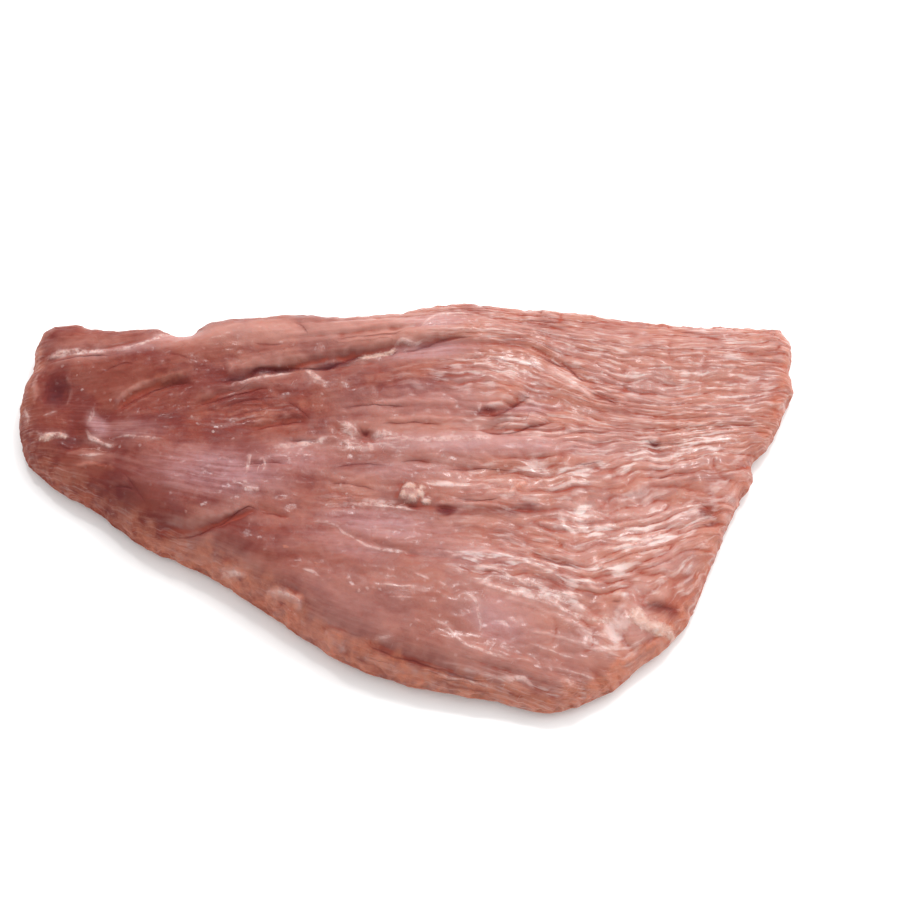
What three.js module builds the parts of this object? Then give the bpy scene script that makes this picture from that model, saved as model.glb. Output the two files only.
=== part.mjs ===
// Raw pork skirt steak: one flat, coarse-grained muscle lying on its boned side.
// Millimetres, +Z up, +X towards the wide cut end, +Y towards the long straight edge.
import * as THREE from "three";

// Driving dimensions
const LENGTH = 200;
const WIDTH = 116.2;
const NARROW_END_THICKNESS = 15.5; // where the muscle bunches up
const CUT_END_THICKNESS = 9.5; // where it thins out to the cut
const NARROW_END_TAPER = 4; // how much lower the very tip is than the bunched part
const RIM_HEIGHT = 3; // height of the edge's widest line above the board
const RIM_SWING = 0.7; // how far that line rises and falls round the steak
const EDGE_ROUND = 10; // how far in from the edge the top reaches its full height
const EDGE_SQUARENESS = 2.1; // 2 is a quarter ellipse, more is a squarer shoulder
const UNDERSIDE_TUCK = 3.4; // how far the underside curves in before it lies flat

// Grain: the strands that run along the steak
const BUNDLE_PITCH = 5.2; // from one bundle of strands to the next
const BUNDLE_REACH = 42; // how far a bundle runs before it merges with another
const BUNDLE_RELIEF = 1.4; // from the groove to the crest, on the roughest part
const BUNDLE_WAVER = 1.2; // how far a bundle strays sideways
const SMOOTH_SHARE = 0.35; // relief that is left on the membrane-covered narrow half

// Mesh
const COLUMNS = 64;
const ROWS = 72;
const EDGE_ROWS = [0, 0.5, 1.6, 3.4]; // distance of the first rows from each edge

// Outline, in four edges that run between the same four corners
const FRONT_EDGE = [
  [-97.8, 12.8], [-89, 4.8], [-79, -1], [-68.6, -9.7], [-57, -15.5], [-46, -21.8], [-34, -30.3],
  [-23, -38.4], [-12, -45.2], [7.5, -51.1], [20, -53.2], [35.5, -56.5], [49.8, -50.9],
];
const CUT_EDGE = [
  [49.8, -50.9], [57.4, -43.6], [64.7, -38.1], [71, -27.6], [77.4, -11.3], [83.4, 1.6], [87.3, 8.4],
  [87.2, 12.6], [91.6, 17.6], [98.8, 34.2], [98.9, 41], [100, 47], [97.5, 53.6],
];
const BACK_EDGE = [
  [-94, 53.4], [-88, 53.8], [-80, 51.6], [-66, 51.7], [-58.8, 48.9], [-54, 52.4], [-40, 55],
  [-31, 55.8], [-12, 55.8], [12.5, 60.8], [24, 59.6], [38, 59], [64, 55], [76, 54],
  [97.5, 53.6],
];
const NARROW_EDGE = [
  [-97.8, 12.8], [-100.4, 20], [-100.8, 28], [-100.3, 34], [-98.4, 39.5], [-98.8, 44.5], [-97.8, 49.8],
  [-94, 53.4],
];

// Grain directions, in degrees from +X, at places on the steak. Below the seam near the
// cut end the strands fan down to the front edge, and above it they rise to the cut.
const EVERYWHERE = [
  [-92, 46, 0], [-80, 32, 6], [-62, 26, 20], [-84, 18, -12], [-74, 4, -30], [-60, 8, -12],
  [-42, 34, 12], [-40, 50, 5], [-30, 14, 9], [-10, 39, 11], [0, 53, 6], [-20, -4, -2],
  [0, 8, 0], [-45, -16, -24], [18, 44, 4], [20, 16, 2],
];
const ABOVE_SEAM = [
  [34, 52, -4], [38, 38, -30], [50, 28, -22], [66, 48, -3], [90, 44, 0], [68, 34, 2],
  [90, 28, 4], [44, 12, 9], [74, 12, 10], [54, -2, 8], [58, -16, 15], [74, -15, 27],
  [78, -2, 12], [74, -21, 23], [67, -30, 17], [60, -28, 10], [60, -46, 26],
];
const BELOW_SEAM = [
  [-24, -17, 4], [0, -19, 0], [24, -17, -7], [38, -20, -14], [-24, -31, -28], [4, -42, -14],
  [24, -34, -14], [38, -32, -18], [34, -45, -22], [48, -46, -18], [46, -30, -18],
];
const SEAM = [
  [34, -2], [40, -7], [43.5, -13], [45.5, -24], [46.5, -29], [51, -35], [56, -40], [57.5, -50],
];
const SEAM_BLEND = 1.5; // distance over which the directions change at the seam
const SEAM_STARTS = 30; // nearer the narrow end the two fans are one

// Forms laid along shallow arcs. bow is how far the middle stands to the left of the
// straight line. A swell has a round crest, a crease is a V with one lip standing over
// the other, on the left for a positive lip, and a dent is a round hollow.
const SWELLS = [
  { name: "edge roll", from: [-62, 43], to: [32, 49], bow: 2, width: 7, height: 1.8 },
  { name: "ridge over the narrow end", from: [-94, 34], to: [-50, 36], bow: 1, width: 7, height: 1.6 },
  { name: "membrane-covered lobe", from: [-76, 14], to: [-26, 4], bow: -6, width: 11, height: 2.4 },
  { name: "band under the long crease", from: [-44, 26], to: [34, 34], bow: 2, width: 6, height: 0.8 },
  { name: "middle band", from: [-8, 10], to: [46, 14], bow: 0, width: 5, height: 0.9 },
  { name: "front lobe", from: [-50, -17], to: [22, -36], bow: 2, width: 11, height: 1.8 },
  { name: "crest beside the furrow", from: [33, 36], to: [47, 29], bow: 0, width: 2, height: 0.6 },
  { name: "fan above the front edge", from: [14, -24], to: [48, -33], bow: 3, width: 6, height: 0.6 },
  { name: "fat nodule", from: [-2.5, -1], to: [2.5, -2.5], bow: 0, width: 2.2, height: 1.2 },
];
const CREASES = [
  { name: "long crease", from: [-48.5, 30.8], to: [17, 46.7], bow: 0.4, width: 2, depth: 1.5, lip: 0.8 },
  { name: "its far end", from: [18, 46.6], to: [33, 46.4], bow: 0, width: 1.8, depth: 0.6, lip: 0.3 },
  { name: "roll groove", from: [-20.3, 44.1], to: [-0.8, 47.5], bow: -0.5, width: 1.6, depth: 0.6, lip: 0.3 },
  { name: "tip fold", from: [-75.4, 22.4], to: [-54.3, 29.8], bow: 2.8, width: 2, depth: 1.2, lip: 0.5 },
  { name: "fat line", from: [-95, 39.4], to: [-64, 45], bow: -0.6, width: 1.8, depth: 1, lip: -0.5 },
  { name: "short fold", from: [-55.2, 22.8], to: [-35.2, 29], bow: 1.6, width: 1.6, depth: 0.9, lip: 0.4 },
  { name: "lower fold", from: [-41, 16], to: [-25.3, 20.2], bow: 0.7, width: 1.6, depth: 0.8, lip: 0.3 },
  { name: "lobe foot", from: [-64.2, -10.1], to: [-36.8, -7.3], bow: -3.1, width: 2, depth: 1.4, lip: 0.8 },
  { name: "its end", from: [-37.5, -7.1], to: [-28.4, -8.6], bow: -0.6, width: 1.6, depth: 0.6, lip: 0.3 },
  { name: "torn membrane", from: [-20, 18], to: [-4, 16], bow: -2, width: 1.8, depth: 0.8, lip: 0.3 },
  { name: "nodule slot", from: [-6, -3.9], to: [34, -4.2], bow: -0.5, width: 1.8, depth: 0.8, lip: 0.4 },
  { name: "membrane edge", from: [-25, -9], to: [2, -18], bow: -1, width: 2, depth: 0.4, lip: 0.3 },
  { name: "front line", from: [-36, -22], to: [14, -19], bow: 2, width: 2, depth: 0.4, lip: 0.3 },
  { name: "leaf split", from: [17.3, 23.4], to: [30.6, 30.2], bow: -1.5, width: 2, depth: 1, lip: 0.4 },
  { name: "split below it", from: [17.2, 19.1], to: [37.4, 22.3], bow: -1.5, width: 1.8, depth: 0.8, lip: 0.3 },
  { name: "furrow", from: [31.6, 43.5], to: [47.4, 34.4], bow: 0.2, width: 2, depth: 0.9, lip: 0.3 },
  { name: "its low end", from: [46, 29.6], to: [53.9, 27.1], bow: 1.2, width: 1.6, depth: 0.6, lip: 0.3 },
  { name: "cut end groove", from: [40.2, 9.3], to: [71.2, 7.1], bow: -1, width: 1.8, depth: 0.6, lip: 0.1 },
  { name: "fan groove", from: [29.9, -16.9], to: [44.5, -20.8], bow: -0.2, width: 1.8, depth: 0.6, lip: 0.3 },
  { name: "fan seam", from: [43.8, -26.3], to: [53.7, -42.8], bow: 1.9, width: 2, depth: 0.6, lip: 0.3 },
  { name: "rim crease", from: [-11.4, -41], to: [19.6, -51.6], bow: -0.8, width: 1.8, depth: 1, lip: 0.4 },
];
const DENTS = [
  { name: "recess at the tip", at: [-90, 29], radius: 4, depth: 1.4 },
  { name: "recess under the fold", at: [-84, 15], radius: 3.5, depth: 1.1 },
  { name: "pit in the torn membrane", at: [-11, 15.3], radius: 2, depth: 1.2 },
  { name: "hole near the cut end", at: [62.5, 14], radius: 1.8, depth: 1.6 },
  { name: "notch of the cut end", at: [76, -5], radius: 3, depth: 0.9 },
];
const LIP_SPREAD = 2.4; // a lip is this many crease widths wide
const LIP_RISE = 1.1; // and rises from the crease over this many
const GROOVE_FLOOR = 0.9; // how far from its middle a crease is rounded

// How the grain is followed and weighed
const GRAIN_LINE = -60; // the strands are told apart by where they cross this X
const GRAIN_STEP = 2;
const GRAIN_LIMIT = 400; // longest way followed
const GRAIN_SOFTNESS = 30; // square of the distance within which a sample counts fully

const MEAT = new THREE.MeshStandardMaterial({ color: 0xb8786c, roughness: 0.35, metalness: 0 });

const lerp = THREE.MathUtils.lerp;
const ease = (value, low, high) => THREE.MathUtils.smoothstep(value, low, high);

// Repeatable noise between -1 and 1 that changes over a distance of about 1
function noise(x, y) {
  const column = Math.floor(x);
  const row = Math.floor(y);
  const lattice = (i, j) => {
    const wild = Math.sin(i * 127.1 + j * 311.7) * 43758.5453;
    return 2 * (wild - Math.floor(wild)) - 1;
  };
  const across = ease(x - column, 0, 1);
  const up = ease(y - row, 0, 1);
  const low = lerp(lattice(column, row), lattice(column + 1, row), across);
  const high = lerp(lattice(column, row + 1), lattice(column + 1, row + 1), across);
  return lerp(low, high, up);
}

function edgeCurve(points) {
  const curve = new THREE.CatmullRomCurve3(
    points.map(([x, y]) => new THREE.Vector3(x, y, 0)),
    false,
    "centripetal",
  );
  curve.arcLengthDivisions = 400;
  return curve;
}

// Where along 0..1 the lines of a mesh stand: close together at both ends, even between
function spread(count, length) {
  const bands = EDGE_ROWS.length - 1;
  const rim = EDGE_ROWS[bands] / length;
  return Array.from({ length: count + 1 }, (_, i) => {
    if (i < bands) return EDGE_ROWS[i] / length;
    if (count - i < bands) return 1 - EDGE_ROWS[count - i] / length;
    return lerp(rim, 1 - rim, (i - bands) / (count - 2 * bands));
  });
}

// Plan position of every mesh point, by blending the four edges
function planGrid() {
  const front = edgeCurve(FRONT_EDGE);
  const cut = edgeCurve(CUT_EDGE);
  const back = edgeCurve(BACK_EDGE);
  const narrow = edgeCurve(NARROW_EDGE);
  const blend = (u, v) => {
    const alongEdges = front.getPointAt(u).lerp(back.getPointAt(u), v);
    const acrossEdges = narrow.getPointAt(v).lerp(cut.getPointAt(v), u);
    const corners = front.getPoint(0).lerp(front.getPoint(1), u);
    corners.lerp(back.getPoint(0).lerp(back.getPoint(1), u), v);
    return alongEdges.add(acrossEdges).sub(corners);
  };
  const grid = [];
  for (let i = 0; i <= COLUMNS; i++) {
    grid.push([]);
    for (let j = 0; j <= ROWS; j++) {
      const evenU = i / COLUMNS;
      const evenV = j / ROWS;
      const reach = blend(0, evenV).distanceTo(blend(1, evenV));
      const breadth = blend(evenU, 0).distanceTo(blend(evenU, 1));
      grid[i].push(blend(spread(COLUMNS, reach)[i], spread(ROWS, breadth)[j]));
    }
  }
  return grid;
}

// 1 above the seam, 0 below it, both over the part where the fans are one
function aboveSeam(x, y) {
  let nearest = Infinity;
  let side = 1;
  for (let k = 0; k + 1 < SEAM.length; k++) {
    const [ax, ay] = SEAM[k];
    const [bx, by] = SEAM[k + 1];
    const length = Math.hypot(bx - ax, by - ay);
    const t = THREE.MathUtils.clamp(((x - ax) * (bx - ax) + (y - ay) * (by - ay)) / length ** 2, 0, 1);
    const distance = Math.hypot(x - lerp(ax, bx, t), y - lerp(ay, by, t));
    if (distance < nearest) {
      nearest = distance;
      side = Math.sign((bx - ax) * (y - ay) - (by - ay) * (x - ax));
    }
  }
  return ease(side * nearest, -SEAM_BLEND, SEAM_BLEND);
}

function grainAngle(x, y) {
  const split = ease(x, SEAM_STARTS - 10, SEAM_STARTS + 6);
  const above = lerp(1, aboveSeam(x, y), split);
  const below = lerp(1, 1 - aboveSeam(x, y), split);
  let east = 0;
  let north = 0;
  const add = (samples, share) => {
    for (const [sx, sy, degrees] of samples) {
      const weight = share / ((x - sx) ** 2 + (y - sy) ** 2 + GRAIN_SOFTNESS) ** 1.5;
      east += weight * Math.cos(THREE.MathUtils.degToRad(degrees));
      north += weight * Math.sin(THREE.MathUtils.degToRad(degrees));
    }
  };
  add(EVERYWHERE, 1);
  add(ABOVE_SEAM, above);
  add(BELOW_SEAM, below);
  return Math.atan2(north, east);
}

// Follows the grain to GRAIN_LINE: how far that is, and where it arrives
function grainPlace(x, y) {
  const heading = x > GRAIN_LINE ? -1 : 1;
  let along = 0;
  while ((GRAIN_LINE - x) * heading > 0 && Math.abs(along) < GRAIN_LIMIT) {
    const angle = grainAngle(x, y);
    const left = Math.abs(GRAIN_LINE - x) / Math.max(Math.cos(angle), 0.2) + 0.01;
    const stride = Math.min(GRAIN_STEP, left);
    x += heading * stride * Math.cos(angle);
    y += heading * stride * Math.sin(angle);
    along -= heading * stride;
  }
  return { along, across: y };
}

// Bundles of strands: round crests with sharp grooves between, 0 in a groove
function bundles(x, y) {
  const { along, across } = grainPlace(x, y);
  const waver = BUNDLE_WAVER * noise(along / 17, across / 11 + 5);
  const strand = noise(along / BUNDLE_REACH + 31, (across + waver) / BUNDLE_PITCH);
  return Math.min(1, 1.6 * Math.abs(strand));
}

// Signed distance from an arc, and 0..1 for how strongly it is there at its length
function alongArc({ from, to, bow }, x, y) {
  const [ax, ay] = from;
  const length = Math.hypot(to[0] - ax, to[1] - ay);
  const east = (to[0] - ax) / length;
  const north = (to[1] - ay) / length;
  const t = ((x - ax) * east + (y - ay) * north) / length;
  const offset = (y - ay) * east - (x - ax) * north - 4 * bow * t * (1 - t);
  const presence = ease(t, -0.05, 0.2) * ease(-t, -1.05, -0.8);
  return { offset, presence };
}

function swell(form, x, y) {
  const { offset, presence } = alongArc(form, x, y);
  return form.height * presence * Math.exp(-((offset / form.width) ** 2));
}

function crease(form, x, y) {
  const { offset, presence } = alongArc(form, x, y);
  const away = Math.hypot(offset, GROOVE_FLOOR) - GROOVE_FLOOR;
  const groove = -form.depth * Math.exp(-away / (0.6 * form.width));
  const above = offset * Math.sign(form.lip);
  const spread = Math.exp(-(((above - form.width) / (LIP_SPREAD * form.width)) ** 2));
  const lip = Math.abs(form.lip) * spread * ease(above, 0, LIP_RISE * form.width);
  return presence * (groove + lip);
}

function dent({ at, radius, depth }, x, y) {
  const far = Math.hypot(x - at[0], y - at[1]) / radius;
  return -depth * Math.exp(-far * far);
}

function fullHeight(x, y) {
  const towardsCut = ease(x, -60, 60);
  const tip = NARROW_END_TAPER * (1 - ease(x, -100, -55));
  let height = lerp(NARROW_END_THICKNESS, CUT_END_THICKNESS, towardsCut) - tip;
  for (const form of SWELLS) height += swell(form, x, y);
  for (const form of CREASES) height += crease(form, x, y);
  for (const form of DENTS) height += dent(form, x, y);
  const roughness = lerp(SMOOTH_SHARE, 1, ease(x + 0.3 * y, -40, 40));
  return height + BUNDLE_RELIEF * roughness * (bundles(x, y) - 0.5);
}

function edgeDistance(x, y, outline) {
  let nearest = Infinity;
  outline.forEach((a, k) => {
    const b = outline[(k + 1) % outline.length];
    const dx = b.x - a.x;
    const dy = b.y - a.y;
    const t = THREE.MathUtils.clamp(((x - a.x) * dx + (y - a.y) * dy) / (dx * dx + dy * dy), 0, 1);
    nearest = Math.min(nearest, Math.hypot(x - a.x - t * dx, y - a.y - t * dy));
  });
  return nearest;
}

// Share of the full rise reached at a distance in from the edge, over a rounded shoulder
function shoulder(distance, reach, squareness) {
  const left = 1 - Math.min(distance / reach, 1);
  return (1 - left ** squareness) ** (1 / squareness);
}

// The mesh lines at one distance from the edge, as grid indices in order round the steak
function ring(depth) {
  const loop = [];
  for (let i = depth; i < COLUMNS - depth; i++) loop.push([i, depth]);
  for (let j = depth; j < ROWS - depth; j++) loop.push([COLUMNS - depth, j]);
  for (let i = COLUMNS - depth; i > depth; i--) loop.push([i, ROWS - depth]);
  for (let j = ROWS - depth; j > depth; j--) loop.push([depth, j]);
  return loop;
}

function steakGeometry() {
  const plan = planGrid();
  const outline = ring(0).map(([i, j]) => plan[i][j]);
  const positions = [];
  const triangles = [];
  const addPoint = (place, z) => {
    positions.push(place.x, place.y, z);
    return positions.length / 3 - 1;
  };
  const rimHeight = ({ x, y }) => RIM_HEIGHT + RIM_SWING * noise(x / 14, y / 14);
  const addQuad = (a, b, c, d) => triangles.push(a, b, c, a, c, d);

  const top = plan.map((column, i) =>
    column.map((place, j) => {
      const onEdge = i === 0 || j === 0 || i === COLUMNS || j === ROWS;
      const distance = onEdge ? 0 : edgeDistance(place.x, place.y, outline);
      const rim = rimHeight(place);
      const share = shoulder(distance, EDGE_ROUND, EDGE_SQUARENESS);
      return addPoint(place, lerp(rim, fullHeight(place.x, place.y), share));
    }),
  );
  for (let i = 0; i < COLUMNS; i++)
    for (let j = 0; j < ROWS; j++) addQuad(top[i][j], top[i + 1][j], top[i + 1][j + 1], top[i][j + 1]);

  // Underside: the curved tuck in rings, then one flat face
  const bands = EDGE_ROWS.length - 1;
  const under = plan.map((column, i) =>
    column.map((place, j) => {
      const depth = Math.min(i, j, COLUMNS - i, ROWS - j);
      if (depth === 0) return top[i][j];
      if (depth > bands) return -1;
      const distance = edgeDistance(place.x, place.y, outline);
      const drop = depth === bands ? 1 : shoulder(distance, UNDERSIDE_TUCK, 2);
      return addPoint(place, rimHeight(place) * (1 - drop));
    }),
  );
  for (let i = 0; i < COLUMNS; i++)
    for (let j = 0; j < ROWS; j++)
      if (Math.min(i, j, COLUMNS - 1 - i, ROWS - 1 - j) < bands)
        addQuad(under[i][j], under[i][j + 1], under[i + 1][j + 1], under[i + 1][j]);
  const inner = ring(bands);
  const contour = inner.map(([i, j]) => new THREE.Vector2(plan[i][j].x, plan[i][j].y));
  for (const [a, b, c] of THREE.ShapeUtils.triangulateShape(contour, [])) {
    const corner = (k) => under[inner[k][0]][inner[k][1]];
    triangles.push(corner(a), corner(c), corner(b));
  }

  const geometry = new THREE.BufferGeometry();
  geometry.setAttribute("position", new THREE.Float32BufferAttribute(positions, 3));
  geometry.setIndex(triangles);
  return toSize(geometry);
}

// Scales the plan to the driving length and width, centred on the origin
function toSize(geometry) {
  geometry.computeBoundingBox();
  const size = geometry.boundingBox.getSize(new THREE.Vector3());
  const middle = geometry.boundingBox.getCenter(new THREE.Vector3());
  geometry.translate(-middle.x, -middle.y, -geometry.boundingBox.min.z);
  geometry.scale(LENGTH / size.x, WIDTH / size.y, 1);
  geometry.computeVertexNormals();
  return geometry;
}

const steak = new THREE.Mesh(steakGeometry(), MEAT);
steak.name = "steak";
const part = new THREE.Group();
part.add(steak);

export default part;
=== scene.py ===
import math

import bpy
import numpy as np
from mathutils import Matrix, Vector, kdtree


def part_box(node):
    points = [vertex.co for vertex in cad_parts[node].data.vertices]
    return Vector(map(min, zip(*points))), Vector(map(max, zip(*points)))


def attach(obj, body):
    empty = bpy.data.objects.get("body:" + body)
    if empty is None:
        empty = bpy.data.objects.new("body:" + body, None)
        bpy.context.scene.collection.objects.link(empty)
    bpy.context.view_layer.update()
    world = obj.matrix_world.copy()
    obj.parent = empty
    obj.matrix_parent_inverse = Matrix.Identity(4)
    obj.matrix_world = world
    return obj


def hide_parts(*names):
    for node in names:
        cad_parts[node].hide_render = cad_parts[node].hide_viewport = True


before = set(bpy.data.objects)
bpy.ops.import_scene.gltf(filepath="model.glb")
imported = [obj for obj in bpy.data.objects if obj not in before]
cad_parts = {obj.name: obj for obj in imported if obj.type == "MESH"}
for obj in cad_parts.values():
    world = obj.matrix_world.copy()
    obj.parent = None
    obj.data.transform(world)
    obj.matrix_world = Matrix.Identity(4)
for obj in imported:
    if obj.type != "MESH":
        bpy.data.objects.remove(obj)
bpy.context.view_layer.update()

bl_info = {
    "name": "Raw Pork Skirt Steak",
    "version": (1, 0, 0),
    "blender": (4, 5, 0),
    "location": "3D View > Sidebar > Steak",
    "description": "Makes a raw pork skirt steak with its strands, membranes and fat, and a pale studio",
    "category": "Add Mesh",
}

NODE = "steak"
BODY = "root"
MM = 0.001
CAD_LOW, CAD_HIGH = (np.array(corner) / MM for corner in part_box(NODE))

# The plan outline, in millimetres: four edges between the same four corners
FRONT_EDGE = [
    (-97.8, 12.8), (-89, 4.8), (-79, -1), (-68.6, -9.7), (-57, -15.5), (-46, -21.8), (-34, -30.3),
    (-23, -38.4), (-12, -45.2), (7.5, -51.1), (20, -53.2), (35.5, -56.5), (49.8, -50.9),
]
CUT_EDGE = [
    (49.8, -50.9), (57.4, -43.6), (64.7, -38.1), (71, -27.6), (77.4, -11.3), (83.4, 1.6),
    (87.3, 8.4), (87.2, 12.6), (91.6, 17.6), (98.8, 34.2), (98.9, 41), (100, 47), (97.5, 53.6),
]
BACK_EDGE = [
    (-94, 53.4), (-88, 53.8), (-80, 51.6), (-66, 51.7), (-58.8, 48.9), (-54, 52.4), (-40, 55),
    (-31, 55.8), (-12, 55.8), (12.5, 60.8), (24, 59.6), (38, 59), (64, 55), (76, 54), (97.5, 53.6),
]
NARROW_EDGE = [
    (-97.8, 12.8), (-100.4, 20), (-100.8, 28), (-100.3, 34), (-98.4, 39.5), (-98.8, 44.5),
    (-97.8, 49.8), (-94, 53.4),
]

# Height of the solid that the meat replaces, in millimetres
NARROW_END_THICKNESS = 15.5
CUT_END_THICKNESS = 9.5
NARROW_END_TAPER = 4.0
RIM_HEIGHT = 3.0
RIM_SWING = 0.7
EDGE_ROUND = 10.0
EDGE_SQUARENESS = 2.1
UNDERSIDE_TUCK = 3.4
BUNDLE_PITCH = 5.2
BUNDLE_REACH = 42.0
BUNDLE_RELIEF = 0.75
BUNDLE_WAVER = 1.2
SMOOTH_SHARE = 0.35
LIP_SPREAD = 2.4
LIP_RISE = 1.1

# Grain directions: place in millimetres and degrees from +X
EVERYWHERE = [
    (-92, 46, 0), (-80, 32, 6), (-62, 26, 20), (-84, 18, -12), (-74, 4, -30), (-60, 8, -12),
    (-42, 34, 12), (-40, 50, 5), (-30, 14, 9), (-10, 39, 11), (0, 53, 6), (-20, -4, -2),
    (0, 8, 0), (-45, -16, -24), (18, 44, 4), (20, 16, 2),
]
ABOVE_SEAM = [
    (34, 52, -4), (38, 38, -30), (50, 28, -22), (66, 48, -3), (90, 44, 0), (68, 34, 2),
    (90, 28, 4), (44, 12, 9), (74, 12, 10), (54, -2, 8), (58, -16, 15), (74, -15, 27),
    (78, -2, 12), (74, -21, 23), (67, -30, 17), (60, -28, 10), (60, -46, 26),
]
BELOW_SEAM = [
    (-24, -17, 4), (0, -19, 0), (24, -17, -7), (38, -20, -14), (-24, -31, -28), (4, -42, -14),
    (24, -34, -14), (38, -32, -18), (34, -45, -22), (48, -46, -18), (46, -30, -18),
]
SEAM = [(34, -2), (40, -7), (43.5, -13), (45.5, -24), (46.5, -29), (51, -35), (56, -40), (57.5, -50)]
SEAM_BLEND = 1.5
SEAM_STARTS = 30.0
GRAIN_LINE = -60.0
GRAIN_SOFTNESS = 30.0

# Forms along shallow arcs, in millimetres: from, to, bow, width, height
SWELLS = [
    ((-62, 43), (32, 49), 2, 7, 1.8),
    ((-94, 34), (-50, 36), 1, 7, 1.6),
    ((-76, 14), (-26, 4), -6, 11, 2.4),
    ((-44, 26), (34, 34), 2, 6, 0.8),
    ((-8, 10), (46, 14), 0, 5, 0.9),
    ((-50, -17), (22, -36), 2, 11, 1.8),
    ((33, 36), (47, 29), 0, 2, 0.6),
    ((14, -24), (48, -33), 3, 6, 0.6),
    ((-2.5, -1), (2.5, -2.5), 0, 2.2, 1.2),
]
# from, to, bow, width, depth, lip
CREASES = [
    ((-48.5, 30.8), (17, 46.7), 0.4, 2.0, 1.0, 0.6),
    ((18, 46.6), (33, 46.4), 0, 1.8, 0.4, 0.2),
    ((-20.3, 44.1), (-0.8, 47.5), -0.5, 1.6, 0.4, 0.2),
    ((-75.4, 22.4), (-54.3, 29.8), 2.8, 2.0, 0.8, 0.4),
    ((-95, 39.4), (-64, 45), -0.6, 1.8, 0.7, -0.4),
    ((-55.2, 22.8), (-35.2, 29), 1.6, 1.6, 0.6, 0.3),
    ((-41, 16), (-25.3, 20.2), 0.7, 1.6, 0.5, 0.2),
    ((-64.2, -10.1), (-36.8, -7.3), -3.1, 2.0, 0.9, 0.6),
    ((-37.5, -7.1), (-28.4, -8.6), -0.6, 1.6, 0.4, 0.2),
    ((-20, 18), (-4, 16), -2, 1.8, 0.5, 0.2),
    ((-6, -3.9), (34, -4.2), -0.5, 1.8, 0.5, 0.3),
    ((-25, -9), (2, -18), -1, 2, 0.3, 0.2),
    ((-36, -22), (14, -19), 2, 2, 0.3, 0.2),
    ((17.3, 23.4), (30.6, 30.2), -1.5, 2.0, 0.7, 0.3),
    ((17.2, 19.1), (37.4, 22.3), -1.5, 1.8, 0.5, 0.2),
    ((31.6, 43.5), (47.4, 34.4), 0.2, 2.0, 0.6, 0.2),
    ((46, 29.6), (53.9, 27.1), 1.2, 1.6, 0.4, 0.2),
    ((40.2, 9.3), (71.2, 7.1), -1, 1.8, 0.4, 0.1),
    ((29.9, -16.9), (44.5, -20.8), -0.2, 1.8, 0.4, 0.2),
    ((43.8, -26.3), (53.7, -42.8), 1.9, 2.0, 0.4, 0.2),
    ((-11.4, -41), (19.6, -51.6), -0.8, 1.8, 0.7, 0.3),
]
# place, radius, depth
DENTS = [
    ((-90, 29), 4, 1.4),
    ((-84, 15), 3.5, 1.1),
    ((-11, 15.3), 2, 1.2),
    ((62.5, 14), 1.8, 1.1),
    ((76, -5), 3, 0.9),
]

# The camera, which looks from the front and from above
PICTURE = 912
LENS = 100.0
SENSOR = 36.0
CAMERA_ELEVATION = math.radians(60)
CAMERA_DISTANCE = 650.0
CAMERA_TARGET = (12.0, 15.0)

# Mesh of the meat
COLUMNS = 328
ROWS = 258
EDGE_ROWS = [0, 0.02, 0.07, 0.18, 0.38, 0.7, 1.2, 1.9, 2.8, 3.8]
UNDER_STEP = 5
UNDER_RELIEF = 0.35
RIM_RELIEF = 1.0
CUT_RELIEF = 0.35
RIM_LUMPS = 0.6
RIM_ROUGH = 0.35
EDGE_STEPS = 120
MARK_STEPS = 6
LINE_FAR = 5.0
# Reach in mesh steps and gain of the two hollow measures, which the material paints as shade and light
HOLLOWS = [(2, 1.3), (7, 0.6)]


class SteakSizes(bpy.types.PropertyGroup):
    """Sizes that shape the meat, in millimetres."""

    strand_pitch: bpy.props.FloatProperty(
        name="Strand pitch", description="Distance from one strand of meat to the next",
        default=2.5, min=1.0, max=6.0)
    strand_reach: bpy.props.FloatProperty(
        name="Strand reach", description="How far a strand runs before it merges",
        default=9.5, min=4.0, max=60.0)
    strand_relief: bpy.props.FloatProperty(
        name="Strand relief", description="From groove to crest on the roughest part",
        default=0.42, min=0.0, max=2.0)
    fibre_relief: bpy.props.FloatProperty(
        name="Fibre relief", description="Relief of the finer fibres within a strand",
        default=0.1, min=0.0, max=1.0)
    crinkle: bpy.props.FloatProperty(
        name="Crinkle", description="Small waves along a strand",
        default=0.19, min=0.0, max=1.0)
    overhang: bpy.props.FloatProperty(
        name="Overhang", description="How far a lip leans over its crease, as a share of its depth",
        default=0.15, min=0.0, max=1.0)
    edge_ragged: bpy.props.FloatProperty(
        name="Ragged edge", description="How far the outline wanders in and out",
        default=0.35, min=0.0, max=2.0)


def colour_property(name, description, default):
    """A colour that the user can change, as linear red, green and blue."""
    return bpy.props.FloatVectorProperty(
        name=name, description=description, subtype="COLOR", size=3,
        min=0.0, max=1.0, default=default)


def from_screen(red, green, blue):
    """A colour given as it looks on a screen, 0 to 255, in linear light."""
    parts = []
    for part in (red, green, blue):
        part = part / 255
        parts.append(part / 12.92 if part <= 0.04045 else ((part + 0.055) / 1.055) ** 2.4)
    return tuple(parts)


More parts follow.
